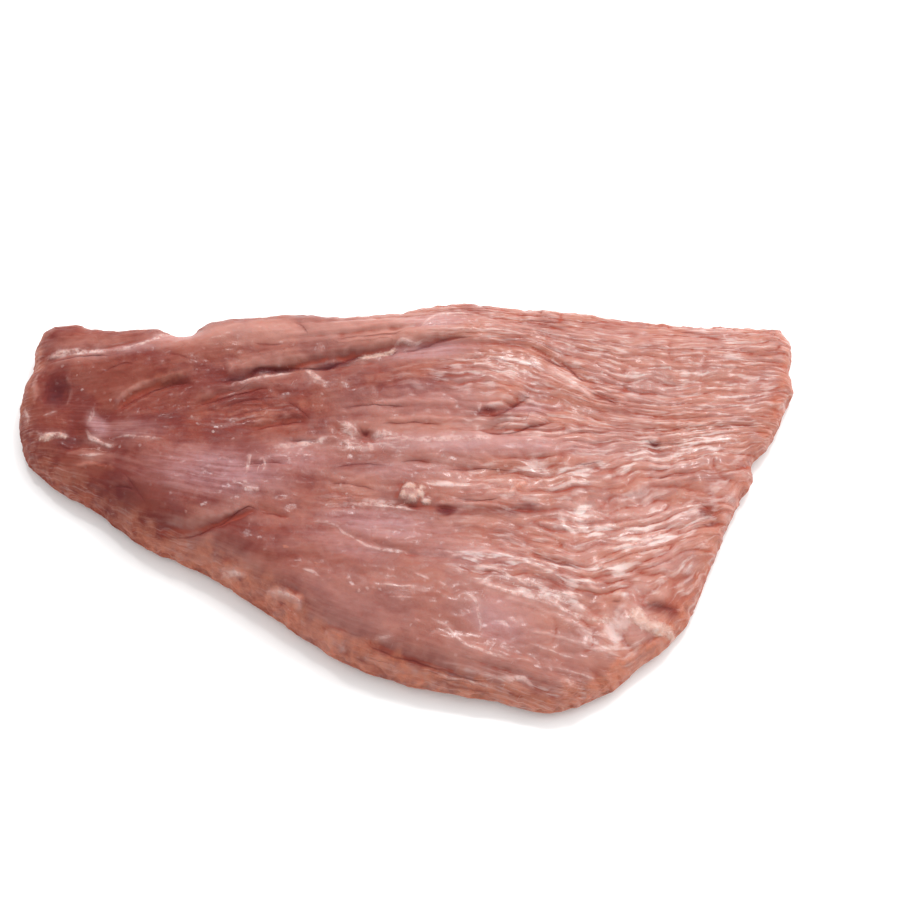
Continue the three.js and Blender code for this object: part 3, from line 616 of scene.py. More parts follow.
# Marks as (kind, width, rise, pixels of a smooth line from left to right)
MARKS = [
    ("crease", 0.5, 0.3, (345, 652), (375, 668), (410, 681)),
    ("crease", 0.5, 0.3, (424, 677), (455, 687), (498, 696)),
    ("flap", 1.2, 0.3, (362, 655), (385, 667), (402, 671)),
    ("crease", 0.6, 0.4, (503, 688), (514, 696), (528, 694)),
    ("thread_and_highlight", 0.4, 0.2, (430, 672), (462, 680), (500, 689)),
    ("flap", 1.5, 0.2, (115, 410), (127, 393), (145, 383), (167, 376), (189, 375)),
    ("crease", 0.5, 0.2, (214, 410), (240, 402), (262, 398), (284, 399)),
    ("crease", 0.5, 0.2, (222, 420), (250, 412), (278, 408)),
    ("crease", 0.5, 0.3, (284, 399), (300, 410), (314, 421)),
    ("crease", 0.6, 0.3, (93, 378), (111, 368), (127, 363), (139, 366)),
    ("crease", 0.7, 0.5, (108, 489), (122, 487), (136, 490)),
    ("crease", 0.6, 0.4, (324, 485), (338, 483), (352, 484), (380, 492)),
    ("thread_and_highlight", 0.9, 0.2, (226, 388), (240, 382), (260, 377), (280, 373), (296, 371)),
    ("thread_and_highlight", 1.3, 0.4, (297, 366), (307, 368), (313, 375), (328, 384)),
    ("thread_and_highlight", 0.9, 0.4, (84, 427), (90, 436), (101, 443), (111, 446), (118, 444)),
    ("thread_and_highlight", 0.8, 0.2, (87, 426), (91, 416), (95, 406)),
    ("thread_and_highlight", 0.8, 0.2, (33, 438), (50, 434), (71, 435)),
    ("thread_and_highlight", 0.7, 0.2, (243, 458), (250, 455), (248, 466), (243, 476)),
    ("thread_and_highlight", 0.5, 0.2, (256, 462), (262, 458), (264, 468), (258, 474)),
    ("thread_and_highlight", 1.0, 0.2, (240, 488), (250, 489), (260, 491)),
    ("thread_and_highlight", 1.4, 0.1, (266, 448), (290, 445), (316, 441), (338, 437)),
    ("thread_and_highlight", 1.2, 0.5, (336, 423), (348, 425), (361, 434)),
    ("thread_and_highlight", 0.8, 0.3, (338, 430), (348, 431), (357, 436)),
    ("thread_and_highlight", 1.4, 0.4, (368, 438), (377, 433), (401, 434)),
    ("thread_and_highlight", 1.0, 0.2, (372, 440), (386, 437), (404, 438)),
    ("thread_and_highlight", 0.7, 0.4, (342, 440), (350, 444), (352, 452)),
    ("thread_and_highlight", 1.0, 0.2, (356, 500), (376, 502), (400, 501)),
    ("flap", 2.4, 0.8, (264, 592), (281, 596), (296, 603), (304, 617)),
    ("flap", 1.4, 0.5, (197, 566), (216, 571), (250, 577)),
    ("flap", 2.2, 0.7, (126, 534), (148, 545), (172, 552)),
    ("flap", 2.0, 0.6, (168, 557), (186, 566), (202, 573)),
    ("flap", 2.2, 0.6, (320, 635), (334, 642), (348, 653)),
    ("flap", 1.6, 0.5, (228, 588), (244, 597), (258, 606)),
    ("flap", 1.8, 0.5, (508, 495), (518, 486), (530, 481)),
    ("crease", 0.5, 0.4, (340, 408), (372, 405), (410, 407)),
    ("crease", 0.5, 0.4, (376, 424), (410, 422), (446, 425)),
    ("crease", 0.5, 0.4, (330, 468), (362, 464), (392, 467)),
    ("crease", 0.5, 0.4, (440, 470), (480, 468), (520, 471)),
    ("crease", 0.6, 0.5, (452, 497), (480, 500), (505, 497)),
    ("crease", 0.5, 0.5, (236, 468), (262, 462), (290, 463)),
    ("crease", 1.5, 0.8, (113, 414), (124, 405), (140, 396), (163, 386), (180, 382), (197, 385)),
    ("crease", 1.4, 1.2, (220, 383), (235, 380), (249, 375), (260, 368), (278, 367), (311, 367),
     (327, 367), (343, 361), (358, 356), (394, 352), (404, 351)),
    ("crease", 0.9, 0.5, (392, 353), (411, 350), (430, 343), (454, 337), (477, 337)),
    ("crease", 0.8, 0.4, (494, 337), (533, 342)),
    ("crease", 0.6, 0.4, (332, 340), (365, 337), (392, 335), (408, 331)),
    ("crease", 0.8, 0.4, (293, 322), (302, 326), (308, 337)),
    ("crease", 0.8, 0.8, (192, 409), (204, 403), (220, 398), (243, 392), (262, 388), (272, 389)),
    ("crease", 0.8, 0.7, (247, 432), (266, 426), (289, 422), (310, 420)),
    ("crease", 0.8, 0.6, (286, 441), (303, 440), (320, 442)),
    ("crease", 1.5, 0.9, (478, 416), (497, 414), (515, 405), (530, 395)),
    ("crease", 0.9, 0.7, (478, 430), (500, 434), (530, 427), (557, 422)),
    ("crease", 1.0, 0.8, (533, 352), (552, 361), (569, 368), (580, 378), (595, 383)),
    ("crease", 0.8, 0.6, (590, 398), (607, 399), (621, 407)),
    ("crease", 1.1, 0.6, (647, 438), (655, 444), (663, 440)),
    ("crease", 0.6, 0.4, (663, 443), (686, 443)),
    ("crease", 0.7, 0.5, (644, 481), (669, 476), (692, 474)),
    ("crease", 0.6, 0.5, (569, 465), (607, 460)),
    ("crease", 0.8, 0.7, (404, 505), (420, 506)),
    ("crease", 0.8, 0.5, (436, 507), (446, 508), (456, 510)),
    ("crease", 0.7, 0.4, (257, 509), (265, 513), (277, 515), (294, 517)),
    ("crease", 1.2, 0.25, (520, 505), (543, 505)),
    ("crease", 0.6, 0.5, (151, 532), (174, 537), (184, 537), (197, 534), (212, 527), (228, 520),
     (238, 512), (248, 507), (260, 510)),
    ("crease", 0.8, 0.7, (361, 639), (386, 653), (413, 660), (439, 669), (489, 684)),
    ("crease", 0.8, 0.6, (530, 555), (556, 562), (589, 570)),
    ("crease", 1.5, 0.4, (647, 604), (665, 608), (684, 612)),
    ("crease", 1.0, 0.5, (611, 602), (623, 602)),
    ("crease", 0.7, 0.3, (698, 502), (706, 506), (711, 511)),
    ("crease", 0.8, 0.4, (700, 523), (708, 524), (718, 521)),
    ("crease", 0.7, 0.5, (395, 462), (415, 460), (436, 463)),
    ("thread_and_highlight", 0.7, 0.3, (440, 484), (456, 485), (472, 486)),
    ("crease", 0.6, 0.5, (46, 365), (71, 358), (97, 356), (113, 357)),
    ("crease", 1.6, 0.6, (45, 406), (46, 392), (50, 379), (58, 371)),
    ("crease", 1.0, 0.4, (60, 446), (72, 448), (86, 444)),
    ("crease", 1.0, 0.3, (120, 470), (135, 488), (146, 506)),
    ("crease", 0.8, 0.3, (165, 352), (180, 356), (196, 362)),
    ("crease", 0.8, 0.3, (250, 342), (272, 345), (290, 343)),
    ("roll", 2.4, 0.3, (585, 576), (600, 598), (614, 614), (626, 634), (630, 648)),
    ("thread_and_highlight", 1.5, 0.3, (44, 360), (71, 352), (97, 351), (113, 352)),
    ("thread_and_highlight", 1.0, 0.2, (108, 352), (135, 347), (150, 340), (166, 335), (188, 334)),
    ("thread_and_highlight", 0.5, 0.1, (41, 415), (59, 411)),
    ("thread_and_highlight", 0.6, 0.2, (23, 407), (29, 424)),
    ("thread_and_highlight", 0.6, 0.2, (75, 454), (107, 454)),
    ("thread_and_highlight", 0.7, 0.3, (393, 348), (402, 341), (415, 343), (428, 338)),
    ("thread_and_highlight", 0.5, 0.2, (417, 330), (430, 318), (445, 313), (470, 312)),
    ("crease", 1.0, 0.6, (360, 426), (365, 433), (370, 428)),
    ("thread_and_highlight", 1.2, 0.1, (388, 436), (420, 439), (460, 438), (500, 437)),
    ("thread_and_highlight", 1.0, 0.1, (520, 436), (550, 434), (580, 430)),
    ("thread_and_highlight", 0.8, 0.2, (366, 437), (371, 444), (373, 452)),
    ("thread_and_highlight", 0.7, 0.2, (344, 443), (352, 438), (360, 434)),
    ("thread_and_highlight", 0.6, 0.2, (477, 415), (479, 408), (482, 403)),
    ("thread_and_highlight", 0.9, 0.2, (540, 366), (560, 375), (586, 391)),
    ("thread_and_highlight", 0.6, 0.0, (312, 521), (332, 523), (343, 532), (358, 540), (366, 546), (385, 549), (412, 552)),
    ("thread_and_highlight", 0.5, 0.2, (343, 503), (380, 506), (420, 510)),
    ("thread_and_highlight", 1.1, 0.3, (560, 505), (562, 516), (564, 526), (580, 537)),
    ("thread_and_highlight", 0.9, 0.3, (574, 510), (586, 508), (598, 507)),
    ("thread_and_highlight", 0.8, 0.3, (590, 529), (604, 526), (616, 524)),
    ("thread_and_highlight", 1.2, 0.3, (612, 549), (630, 545), (650, 541), (664, 536)),
    ("thread_and_highlight", 0.5, 0.2, (197, 568), (209, 569)),
    ("thread_and_highlight", 0.5, 0.2, (216, 573), (232, 574), (249, 577)),
    ("thread_and_highlight", 0.5, 0.3, (265, 590), (280, 594), (296, 601), (304, 616)),
    ("thread_and_highlight", 0.5, 0.2, (302, 569), (311, 571), (320, 576)),
    ("thread_and_highlight", 0.5, 0.2, (415, 571), (430, 580)),
    ("thread_and_highlight", 0.4, 0.1, (371, 584), (420, 586)),
    ("thread_and_highlight", 0.4, 0.1, (385, 597), (419, 597)),
    ("thread_and_highlight", 0.5, 0.1, (372, 640), (397, 636)),
    ("thread_and_highlight", 0.9, 0.4, (497, 676), (510, 679), (524, 679), (535, 690)),
    ("thread_and_highlight", 0.5, 0.2, (562, 685), (566, 680), (570, 685), (576, 681)),
    ("ridge", 1.1, 0.3, (447, 558), (460, 554), (482, 552), (510, 557), (535, 566), (560, 575), (578, 580)),
    ("thread_and_highlight", 0.7, 0.2, (467, 565), (495, 569), (520, 580), (545, 588), (570, 595), (585, 599)),
    ("thread_and_highlight", 0.8, 0.2, (475, 580), (495, 587), (520, 595), (540, 599), (560, 607), (577, 616), (595, 620)),
    ("ridge", 0.7, 0.2, (500, 596), (525, 603), (550, 612), (570, 622), (588, 628)),
    ("ridge", 0.7, 0.2, (527, 630), (545, 633), (570, 640), (595, 648), (620, 656)),
    ("thread_and_highlight", 0.4, 0.1, (575, 627), (600, 636), (625, 646)),
    ("thread_and_highlight", 0.6, 0.1, (458, 590), (475, 600), (480, 616), (480, 636)),
    ("thread_and_highlight", 0.6, 0.1, (427, 615), (450, 630), (460, 641), (480, 650), (495, 655), (510, 660)),
    ("thread_and_highlight", 0.4, 0.1, (527, 642), (580, 661)),
    ("thread_and_highlight", 0.4, 0.1, (549, 666), (601, 682)),
    ("thread_and_highlight", 0.4, 0.1, (591, 631), (622, 641)),
    ("thread_and_highlight", 0.4, 0.1, (580, 647), (624, 659)),
    ("fat", 2.2, 0.3, (632, 610), (638, 620), (652, 628), (675, 632)),
    ("thread_and_highlight", 0.8, 0.2, (725, 503), (736, 489)),
    ("ridge", 0.9, 0.3, (658, 512), (672, 512)),
    ("roll", 1.6, 0.2, (62, 453), (82, 451), (102, 456)),
    ("flap", 1.2, 0.25, (73, 466), (94, 464), (119, 470)),
    ("roll", 1.6, 0.4, (40, 372), (34, 388), (36, 408)),
    ("roll", 1.2, 0.3, (66, 372), (70, 390), (66, 408)),
    ("thread_and_highlight", 0.5, 0.2, (30, 430), (48, 436), (60, 434)),
    ("thread_and_highlight", 0.5, 0.1, (112, 438), (140, 436), (165, 440)),
    ("roll", 1.8, 0.25, (370, 405), (420, 401), (460, 403)),
    ("roll", 1.8, 0.25, (385, 420), (430, 417), (470, 420)),
    ("roll", 2.0, 0.3, (545, 365), (565, 372), (585, 384)),
]


def near_line(pixels, x, y, margin=8.0):
    """Places near a smooth line: which, offset (+ on its left), distance along, whole length."""
    path, _, whole = smooth_line([under_pixel(*pixel) for pixel in pixels], MARK_STEPS)
    low, high = path.min(axis=0) - margin, path.max(axis=0) + margin
    chosen = np.nonzero((x > low[0]) & (x < high[0]) & (y > low[1]) & (y < high[1]))[0]
    x, y = x[chosen], y[chosen]
    nearest = np.full(x.shape, np.inf)
    side, reached = np.ones(x.shape), np.zeros(x.shape)
    walked = 0.0
    for start, end in zip(path, path[1:]):
        step = end - start
        length = np.linalg.norm(step)
        t = np.clip(((x - start[0]) * step[0] + (y - start[1]) * step[1]) / length ** 2, 0, 1)
        far = np.hypot(x - start[0] - t * step[0], y - start[1] - t * step[1])
        closer = far < nearest
        side = np.where(closer, np.sign(step[0] * (y - start[1]) - step[1] * (x - start[0])), side)
        reached = np.where(closer, walked + t * length, reached)
        nearest = np.minimum(nearest, far)
        walked += length
    return chosen, nearest * side, reached, whole


class Surface:
    """The top of the steak: heights in millimetres, and what shows where, for given places."""

    def __init__(self, x, y, edge, outward, grain, sizes):
        self.x, self.y, self.edge, self.outward = x, y, edge, outward
        self.along, self.across = grain.place(x, y)
        wobble_x = x + 0.5 * ripple(x / 4, y / 4, 40) + 0.15 * ripple(x / 1.9, y / 1.9, 42)
        wobble_y = y + 0.25 * ripple(x / 4, y / 4, 41) + 0.12 * ripple(x / 1.9, y / 1.9, 43)
        self.rough = np.clip(
            lerp(0.12, 1.0, ease(x + 0.3 * y, -20, 60)) + patches(ROUGH_PATCHES, x, y)
            - patches(SMOOTH_PATCHES, x, y), 0.04, 1.2)
        self.rough += RIM_ROUGH * ease(-edge, -6, -2)
        self.height = broad_height(x, y)
        self.painted_shade, self.fat, self.ridge, self.lift, self.tan = (np.zeros(x.shape) for _ in range(5))
        self.crease = [np.full(x.shape, LINE_FAR), np.zeros(x.shape)]
        self.thread_and_highlight = [np.full(x.shape, LINE_FAR), np.zeros(x.shape)]
        self.lean = np.zeros(x.shape)
        self.add_creases(wobble_x, wobble_y)
        self.add_dents()
        self.add_strands(sizes)
        self.add_marks(wobble_x, wobble_y, sizes.overhang)
        self.paint(wobble_x, wobble_y)

    def add_creases(self, x, y):
        for start, end, bow, width, depth, lip in CREASES:
            offset, presence = along_arc(start, end, bow, x, y)
            away = np.hypot(offset, 0.4) - 0.4
            self.height -= presence * depth * np.exp(-away / (0.55 * width))
            above = offset * math.copysign(1.0, lip)
            rise = np.exp(-(((above - width) / (LIP_SPREAD * width)) ** 2))
            self.height += presence * abs(lip) * rise * ease(above, 0, LIP_RISE * width)

    def add_dents(self):
        for (cx, cy), radius, depth in DENTS:
            far = np.hypot(self.x - cx, self.y - cy) / radius
            self.height -= depth * np.exp(-far * far)

    def add_strands(self, sizes):
        along, across = self.along, self.across
        waver = BUNDLE_WAVER * lattice_noise(along / 17, across / 11 + 5)
        bundle = np.minimum(1, 1.6 * np.abs(
            lattice_noise(along / BUNDLE_REACH + 31, (across + waver) / BUNDLE_PITCH)))
        share = lerp(SMOOTH_SHARE, 1.0, ease(self.x + 0.3 * self.y, -40, 40))
        self.height += BUNDLE_RELIEF * share * (bundle - 0.5)

        loose = np.clip(self.rough, 0, 1)
        across = (across + (0.5 + 0.4 * loose) * ripple(along / 14, across / 8, 3)
                  + (0.2 + 0.25 * loose) * ripple(along / 5.5, across / 3, 4))
        self.warped = across
        strand = np.abs(ripple(along / sizes.strand_reach, across / sizes.strand_pitch, 5, 0.75))
        strand = 1 - (1 - np.minimum(1, 2.4 * strand)) ** 2
        depth = 0.8 + 0.9 * ripple(along / 26, across / 9, 6)
        fibre = np.abs(ripple(along / 11, across / (0.5 * sizes.strand_pitch), 7, 0.7))
        crinkle = ripple(along / 2.6, across / 1.6, 8)
        self.strand = strand
        self.relief = self.rough * (
            sizes.strand_relief * depth * (strand - 0.7)
            + sizes.fibre_relief * (np.minimum(1, 2 * fibre) - 0.6))
        self.relief += (0.2 + 0.6 * self.rough) * sizes.crinkle * crinkle
        calm = 0.5 - 0.2 * np.clip(self.rough, 0, 1)
        self.relief += calm * (1.3 * sizes.crinkle * ripple(self.x / 2.1, self.y / 1.9, 9)
                               + 2.2 * sizes.crinkle * ripple(self.x / 5.5, self.y / 4.0, 10))

    def lay(self, layer, chosen, offset, share):
        """Keeps the nearest line: its offset in its own widths, and how strong it is."""
        closer = np.abs(offset) < np.abs(layer[0][chosen])
        layer[0][chosen[closer]] = offset[closer]
        layer[1][chosen[closer]] = (share * ease(LINE_FAR - np.abs(offset), 0, 1.5))[closer]

    def add_marks(self, x, y, overhang):
        for kind, width, rise, *pixels in MARKS:
            chosen, offset, reached, whole = near_line(pixels, x, y)
            fade = min(4.0, 0.35 * whole)
            taper = ease(reached, 0, fade) * ease(whole - reached, 0, fade)
            broken = 1 + 0.8 * ripple(reached / 2.6, reached * 0 + 0.5, 52)
            width = width * (0.5 + 0.5 * taper) * (1 + 0.35 * ripple(reached / 3, reached * 0 + 0.5, 50))
            broad = np.maximum(width, 0.9)
            if kind == "crease":
                self.height[chosen] -= 0.7 * rise * taper * np.exp(-np.abs(offset) / (0.45 * broad))
                lip = 0.35 * rise * ease(width, 0.3, 1.3) * taper * np.exp(-(np.maximum(offset - 2 * broad, 0) / (2.4 * broad)) ** 2)
                self.height[chosen] += lip * ease(offset, 0, 2 * broad)
                # Painted shade along the bottom of the crease
                self.painted_shade[chosen] += 0.4 * taper * np.exp(-(offset / (0.55 * broad)) ** 2)
                self.lean[chosen] -= overhang * rise * taper * np.exp(-((offset - 0.7) / 0.9) ** 2)
                self.lay(self.crease, chosen, offset / width, taper * np.clip(broken * (0.25 + 0.8 * rise), 0, 1))
            elif kind == "flap":
                body = np.exp(-np.abs(offset / (0.55 * broad)) ** 2.5) * ease(taper, 0, 0.4)
                self.relief[chosen] += rise * body
                self.tan[chosen] = np.maximum(self.tan[chosen], body * min(1.0, 1.5 * rise))
            elif kind == "thread_and_highlight":
                self.height[chosen] += 0.6 * rise * taper * np.exp(-(offset / (0.7 * broad)) ** 2)
                self.lay(self.thread_and_highlight, chosen, offset / width, taper * np.clip(broken * (0.4 + rise), 0, 1))
            else:
                body = np.exp(-np.abs(offset / (0.55 * broad)) ** 2.5) * ease(taper, 0, 0.4)
                if kind != "roll":
                    body = body * np.clip(0.75 + 0.6 * ripple(reached / 1.7, offset / 1.2, 51), 0, 1)
                self.height[chosen] += rise * body
                # Rolls also get a little painted light
                layer, share = {"fat": (self.fat, 1.0), "ridge": (self.ridge, 1.0), "roll": (self.lift, 0.2)}[kind]
                layer[chosen] = np.maximum(layer[chosen], share * body)

    def paint(self, x, y):
        """0 to 1 shares of each colour and finish."""
        self.membrane = np.clip(patches(MEMBRANE_PATCHES, x, y), 0, 1)
        self.stain = np.clip(patches(STAIN_AND_SHADE_PATCHES, x, y), 0, 1)
        lumps = patches(FAT_PATCHES, x, y)
        self.height += 0.4 * np.clip(lumps, 0, 1) * (0.7 + 0.7 * ripple(x / 1.5, y / 1.5, 23))
        self.fat = np.clip(self.fat + lumps, 0, 1)
        blotch = (0.07 * ripple(self.x / 11, self.y / 8, 20)
                  + 0.14 * ripple(self.along / 18, self.across / 3, 21)
                  + 0.14 * self.rough * ripple(self.along / 26, self.warped / 2.1, 25))
        # Paler towards the cut end and deeper at the narrow end, with patches: partly the meat's own tone and partly
        # painted light and shade
        self.pale = np.clip(
            0.1 + 0.62 * ease(self.x + 0.2 * self.y, -60, 40) + patches(PALE_AND_LIT_PATCHES, x, y)
            - patches(DEEP_AND_SHADED_PATCHES, x, y) + blotch + self.lift, 0, 1)
        # Pale streaks on the strand crests and on the ridge marks: partly pale fibre and partly painted highlight
        streak = (ripple(self.along / 13, self.warped / 1.5, 30, 0.5)
                  + 0.6 * ripple(self.along / 6, self.warped / 0.9, 31, 0.5))
        gather = 0.5 + 0.9 * ripple(self.x / 9, self.y / 5, 32)
        self.streak = np.clip(
            self.rough * gather * ease(streak, 0.1, 0.7) * ease(self.strand, 0.3, 0.9) + self.ridge, 0, 1)
        self.painted_shade = np.clip(self.painted_shade + patches(SHADE_PATCHES, x, y), 0, 1)
        bottom = ease(x, -30, 0) * ease(-y, 25, 42)
        narrow = ease(-x, 88, 96) * ease(y, 22, 30)
        front = ease(-self.outward[:, 1], 0.2, 0.6) * ease(self.x, -88, -66)
        front = np.maximum(front, 0.6 * ease(self.outward[:, 0], 0.2, 0.7))
        reach = lerp(2.4, 2.8, front) * (1 + 1.2 * ripple(x / 4, y / 4, 24))
        band = ease(-self.edge / reach, -1.5, -0.4)
        self.rim = np.clip(band * (0.25 + 0.4 * front + 0.75 * np.maximum(bottom, 0.35 * narrow))
                           + 0.8 * self.tan + patches(TAN_PATCHES, x, y), 0, 1)
        self.wet = np.clip(0.18 + 0.32 * ease(self.x, -60, 40) - 0.5 * self.painted_shade + patches(WET_PATCHES, x, y)
                           + 0.35 * ripple(self.x / 7, self.y / 7, 22), 0, 1)
        self.glint = np.clip(patches(WET_PATCHES, x, y), 0, 1)
        self.painted_sheen = np.clip(patches(PAINTED_SHEEN_PATCHES, x, y), 0, 1)


def nearest_edge(points, outline):
    """For each point, its distance from the outline and the outward direction there."""
    tree = kdtree.KDTree(len(outline))
    for k, (x, y) in enumerate(outline):
        tree.insert((x, y, 0), k)
    tree.balance()
    found = np.array([tree.find((x, y, 0))[1] for x, y in points])
    ahead = np.roll(outline, -2, axis=0) - np.roll(outline, 2, axis=0)
    ahead /= np.linalg.norm(ahead, axis=1)[:, None]
    outward = np.stack([ahead[:, 1], -ahead[:, 0]], 1)[found]
    between = points - outline[found]
    beside = np.clip((between * ahead[found]).sum(1), -0.4, 0.4)[:, None] * ahead[found]
    return np.linalg.norm(between - beside, axis=1), outward


def ring(depth):
    """Grid indices in order round the steak, at one step in from the edge."""
    last_i, last_j = COLUMNS - depth, ROWS - depth
    loop = [(i, depth) for i in range(depth, last_i)]
    loop += [(last_i, j) for j in range(depth, last_j)]
    loop += [(i, last_j) for i in range(last_i, depth, -1)]
    loop += [(depth, j) for j in range(last_j, depth, -1)]
    return loop


def under_faces(number):
    """Faces of the underside: fine rings at the edge, then large faces that meet them."""
    bands = len(EDGE_ROWS) - 1
    faces = []
    for i in range(COLUMNS):
        for j in range(ROWS):
            if min(i, j, COLUMNS - 1 - i, ROWS - 1 - j) < bands:
                faces.append((number[i, j], number[i, j + 1], number[i + 1, j + 1], number[i + 1, j]))
    for i in range(bands, COLUMNS - bands, UNDER_STEP):
        for j in range(bands, ROWS - bands, UNDER_STEP):
            loop = [(i, j + k) for k in range(UNDER_STEP)]
            loop += [(i + k, j + UNDER_STEP) for k in range(UNDER_STEP)]
            loop += [(i + UNDER_STEP, j + UNDER_STEP - k) for k in range(UNDER_STEP)]
            loop += [(i + UNDER_STEP - k, j) for k in range(UNDER_STEP)]
            faces.append(tuple(number[c] for c in loop if number[c] >= 0))
    return faces


def store(mesh, name, kind, values):
    """Keeps one value for each point of the mesh, for the material to read."""
    layer = mesh.attributes.new(name, kind, "POINT")
    field = "vector" if kind == "FLOAT_VECTOR" else "color"
    layer.data.foreach_set(field, np.ascontiguousarray(values, np.float32).ravel())


def blurred(field, reach):
    """Mean of a grid of values over a square that reaches so many steps each way."""
    width = 2 * reach + 1
    for axis in (0, 1):
        pad = [(0, 0), (0, 0)]
        pad[axis] = (reach + 1, reach)
        total = np.moveaxis(np.cumsum(np.pad(field, pad, "edge"), axis), axis, 0)
        field = np.moveaxis(total[width:] - total[:-width], 0, axis) / width
    return field


def meat_mesh(sizes):
    plan = Plan(sizes.edge_ragged)
    flat = plan.points.reshape(-1, 2)
    outline = np.array([plan.points[c] for c in ring(0)])
    edge, outward = nearest_edge(flat, outline)
    grain = Grain()
    top = Surface(flat[:, 0], flat[:, 1], edge, outward, grain, sizes)
    rim = RIM_HEIGHT + RIM_SWING * lattice_noise(flat[:, 0] / 14, flat[:, 1] / 14)
    share = shoulder(edge, EDGE_ROUND, EDGE_SQUARENESS)
    ends = lerp(RIM_RELIEF, CUT_RELIEF, ease(outward[:, 0], 0.3, 0.7))
    height = lerp(rim, top.height, share) + top.relief * lerp(ends, 1.0, share)
    lumps = (ripple(flat[:, 0] / 3.1, flat[:, 1] / 3.1 + height / 2.5, 60)
             + 0.6 * ripple(flat[:, 0] / 1.3, flat[:, 1] / 1.3 - height / 1.2, 61))
    moved = flat + outward * (RIM_LUMPS * (1 - share) * (lumps - 0.4))[:, None]
    moved[:, 1] += share * top.lean
    sunk = (1 - share) * (top.height - rim)

    shape = (COLUMNS + 1, ROWS + 1)
    level = (top.height + top.relief).reshape(shape)
    # How far each place lies below the mean round it, at two reaches, for the painted shade and light of the material
    hollow = [np.clip(0.5 + gain * (blurred(blurred(level, reach), reach) - level), 0, 1).ravel()
              for reach, gain in HOLLOWS]
    index = np.arange(shape[0] * shape[1]).reshape(shape)
    i, j = np.indices(shape)
    depth = np.minimum.reduce([i, j, COLUMNS - i, ROWS - j])
    bands = len(EDGE_ROWS) - 1
    on_step = (((i - bands) % UNDER_STEP == 0) & ((j - bands) % UNDER_STEP == 0))
    kept = (depth > 0) & ((depth <= bands) | on_step)
    number = np.where(depth == 0, index, -1)
    number[kept] = index.size + np.arange(kept.sum())
    below = kept.ravel()
    drop = shoulder(edge[below], UNDERSIDE_TUCK, 2)
    grooved = UNDER_RELIEF * (1 - top.strand[below]) * ease(edge[below], 4, 9)
    under_height = rim[below] * (1 - drop) + grooved

    def both(values):
        return np.concatenate([values, values[below]])

    xy = to_frame(np.vstack([moved, flat[below]]))
    z = np.concatenate([height, under_height])
    vertices = np.column_stack([xy, z]) * MM
    quads = np.stack([index[:-1, :-1], index[1:, :-1], index[1:, 1:], index[:-1, 1:]], -1).reshape(-1, 4)
    mesh = bpy.data.meshes.new("steak_meat")
    mesh.from_pydata(vertices.tolist(), [], quads.tolist() + under_faces(number))
    mesh.shade_smooth()
    for name, layers in {
        "tone": (top.membrane, top.fat, top.pale, top.rim),
        "finish": (top.wet, top.stain, np.clip(top.rough, 0, 1), top.glint),
        "detail": (top.strand, top.streak, top.painted_shade, top.painted_sheen),
        "lines": (0.5 + top.crease[0] / LINE_FAR / 2, top.crease[1],
                  0.5 + top.thread_and_highlight[0] / LINE_FAR / 2, top.thread_and_highlight[1]),
    }.items():
        store(mesh, name, "FLOAT_COLOR", np.column_stack([both(layer) for layer in layers]))
    along, across = top.along + sunk * outward[:, 0], top.warped + sunk * outward[:, 1]
    store(mesh, "grain", "FLOAT_VECTOR", np.column_stack([both(along), both(across), 0 * both(along)]))
    store(mesh, "hollow", "FLOAT_VECTOR", np.column_stack([both(hollow[0]), both(hollow[1]), 0 * both(along)]))
    return mesh


class Number:
    """A value in a material. Arithmetic on it adds Math nodes."""

    def __init__(self, maker, socket):
        self.maker, self.socket = maker, socket

    def maths(self, operation, *values, clamp=False):
        made = self.maker.node("ShaderNodeMath", {"operation": operation, "use_clamp": clamp},
                               dict(enumerate(values)))
        return Number(self.maker, made.outputs[0])

    def __add__(self, other):
        return self.maths("ADD", self, other)

    def __sub__(self, other):
        return self.maths("SUBTRACT", self, other)

    def __rsub__(self, other):
        return self.maths("SUBTRACT", other, self)

    def __mul__(self, other):
        return self.maths("MULTIPLY", self, other)

    def __truediv__(self, other):
        return self.maths("DIVIDE", self, other)

    def __pow__(self, other):
        return self.maths("POWER", self, other)

    __radd__ = __add__
    __rmul__ = __mul__

    def clamped(self):
        return self.maths("ADD", self, 0.0, clamp=True)

    def size(self):
        return self.maths("ABSOLUTE", self)

    def eased(self, low, high):
        made = self.maker.node("ShaderNodeMapRange", {"interpolation_type": "SMOOTHSTEP"},
                               {"Value": self, "From Min": low, "From Max": high})
        return Number(self.maker, made.outputs["Result"])


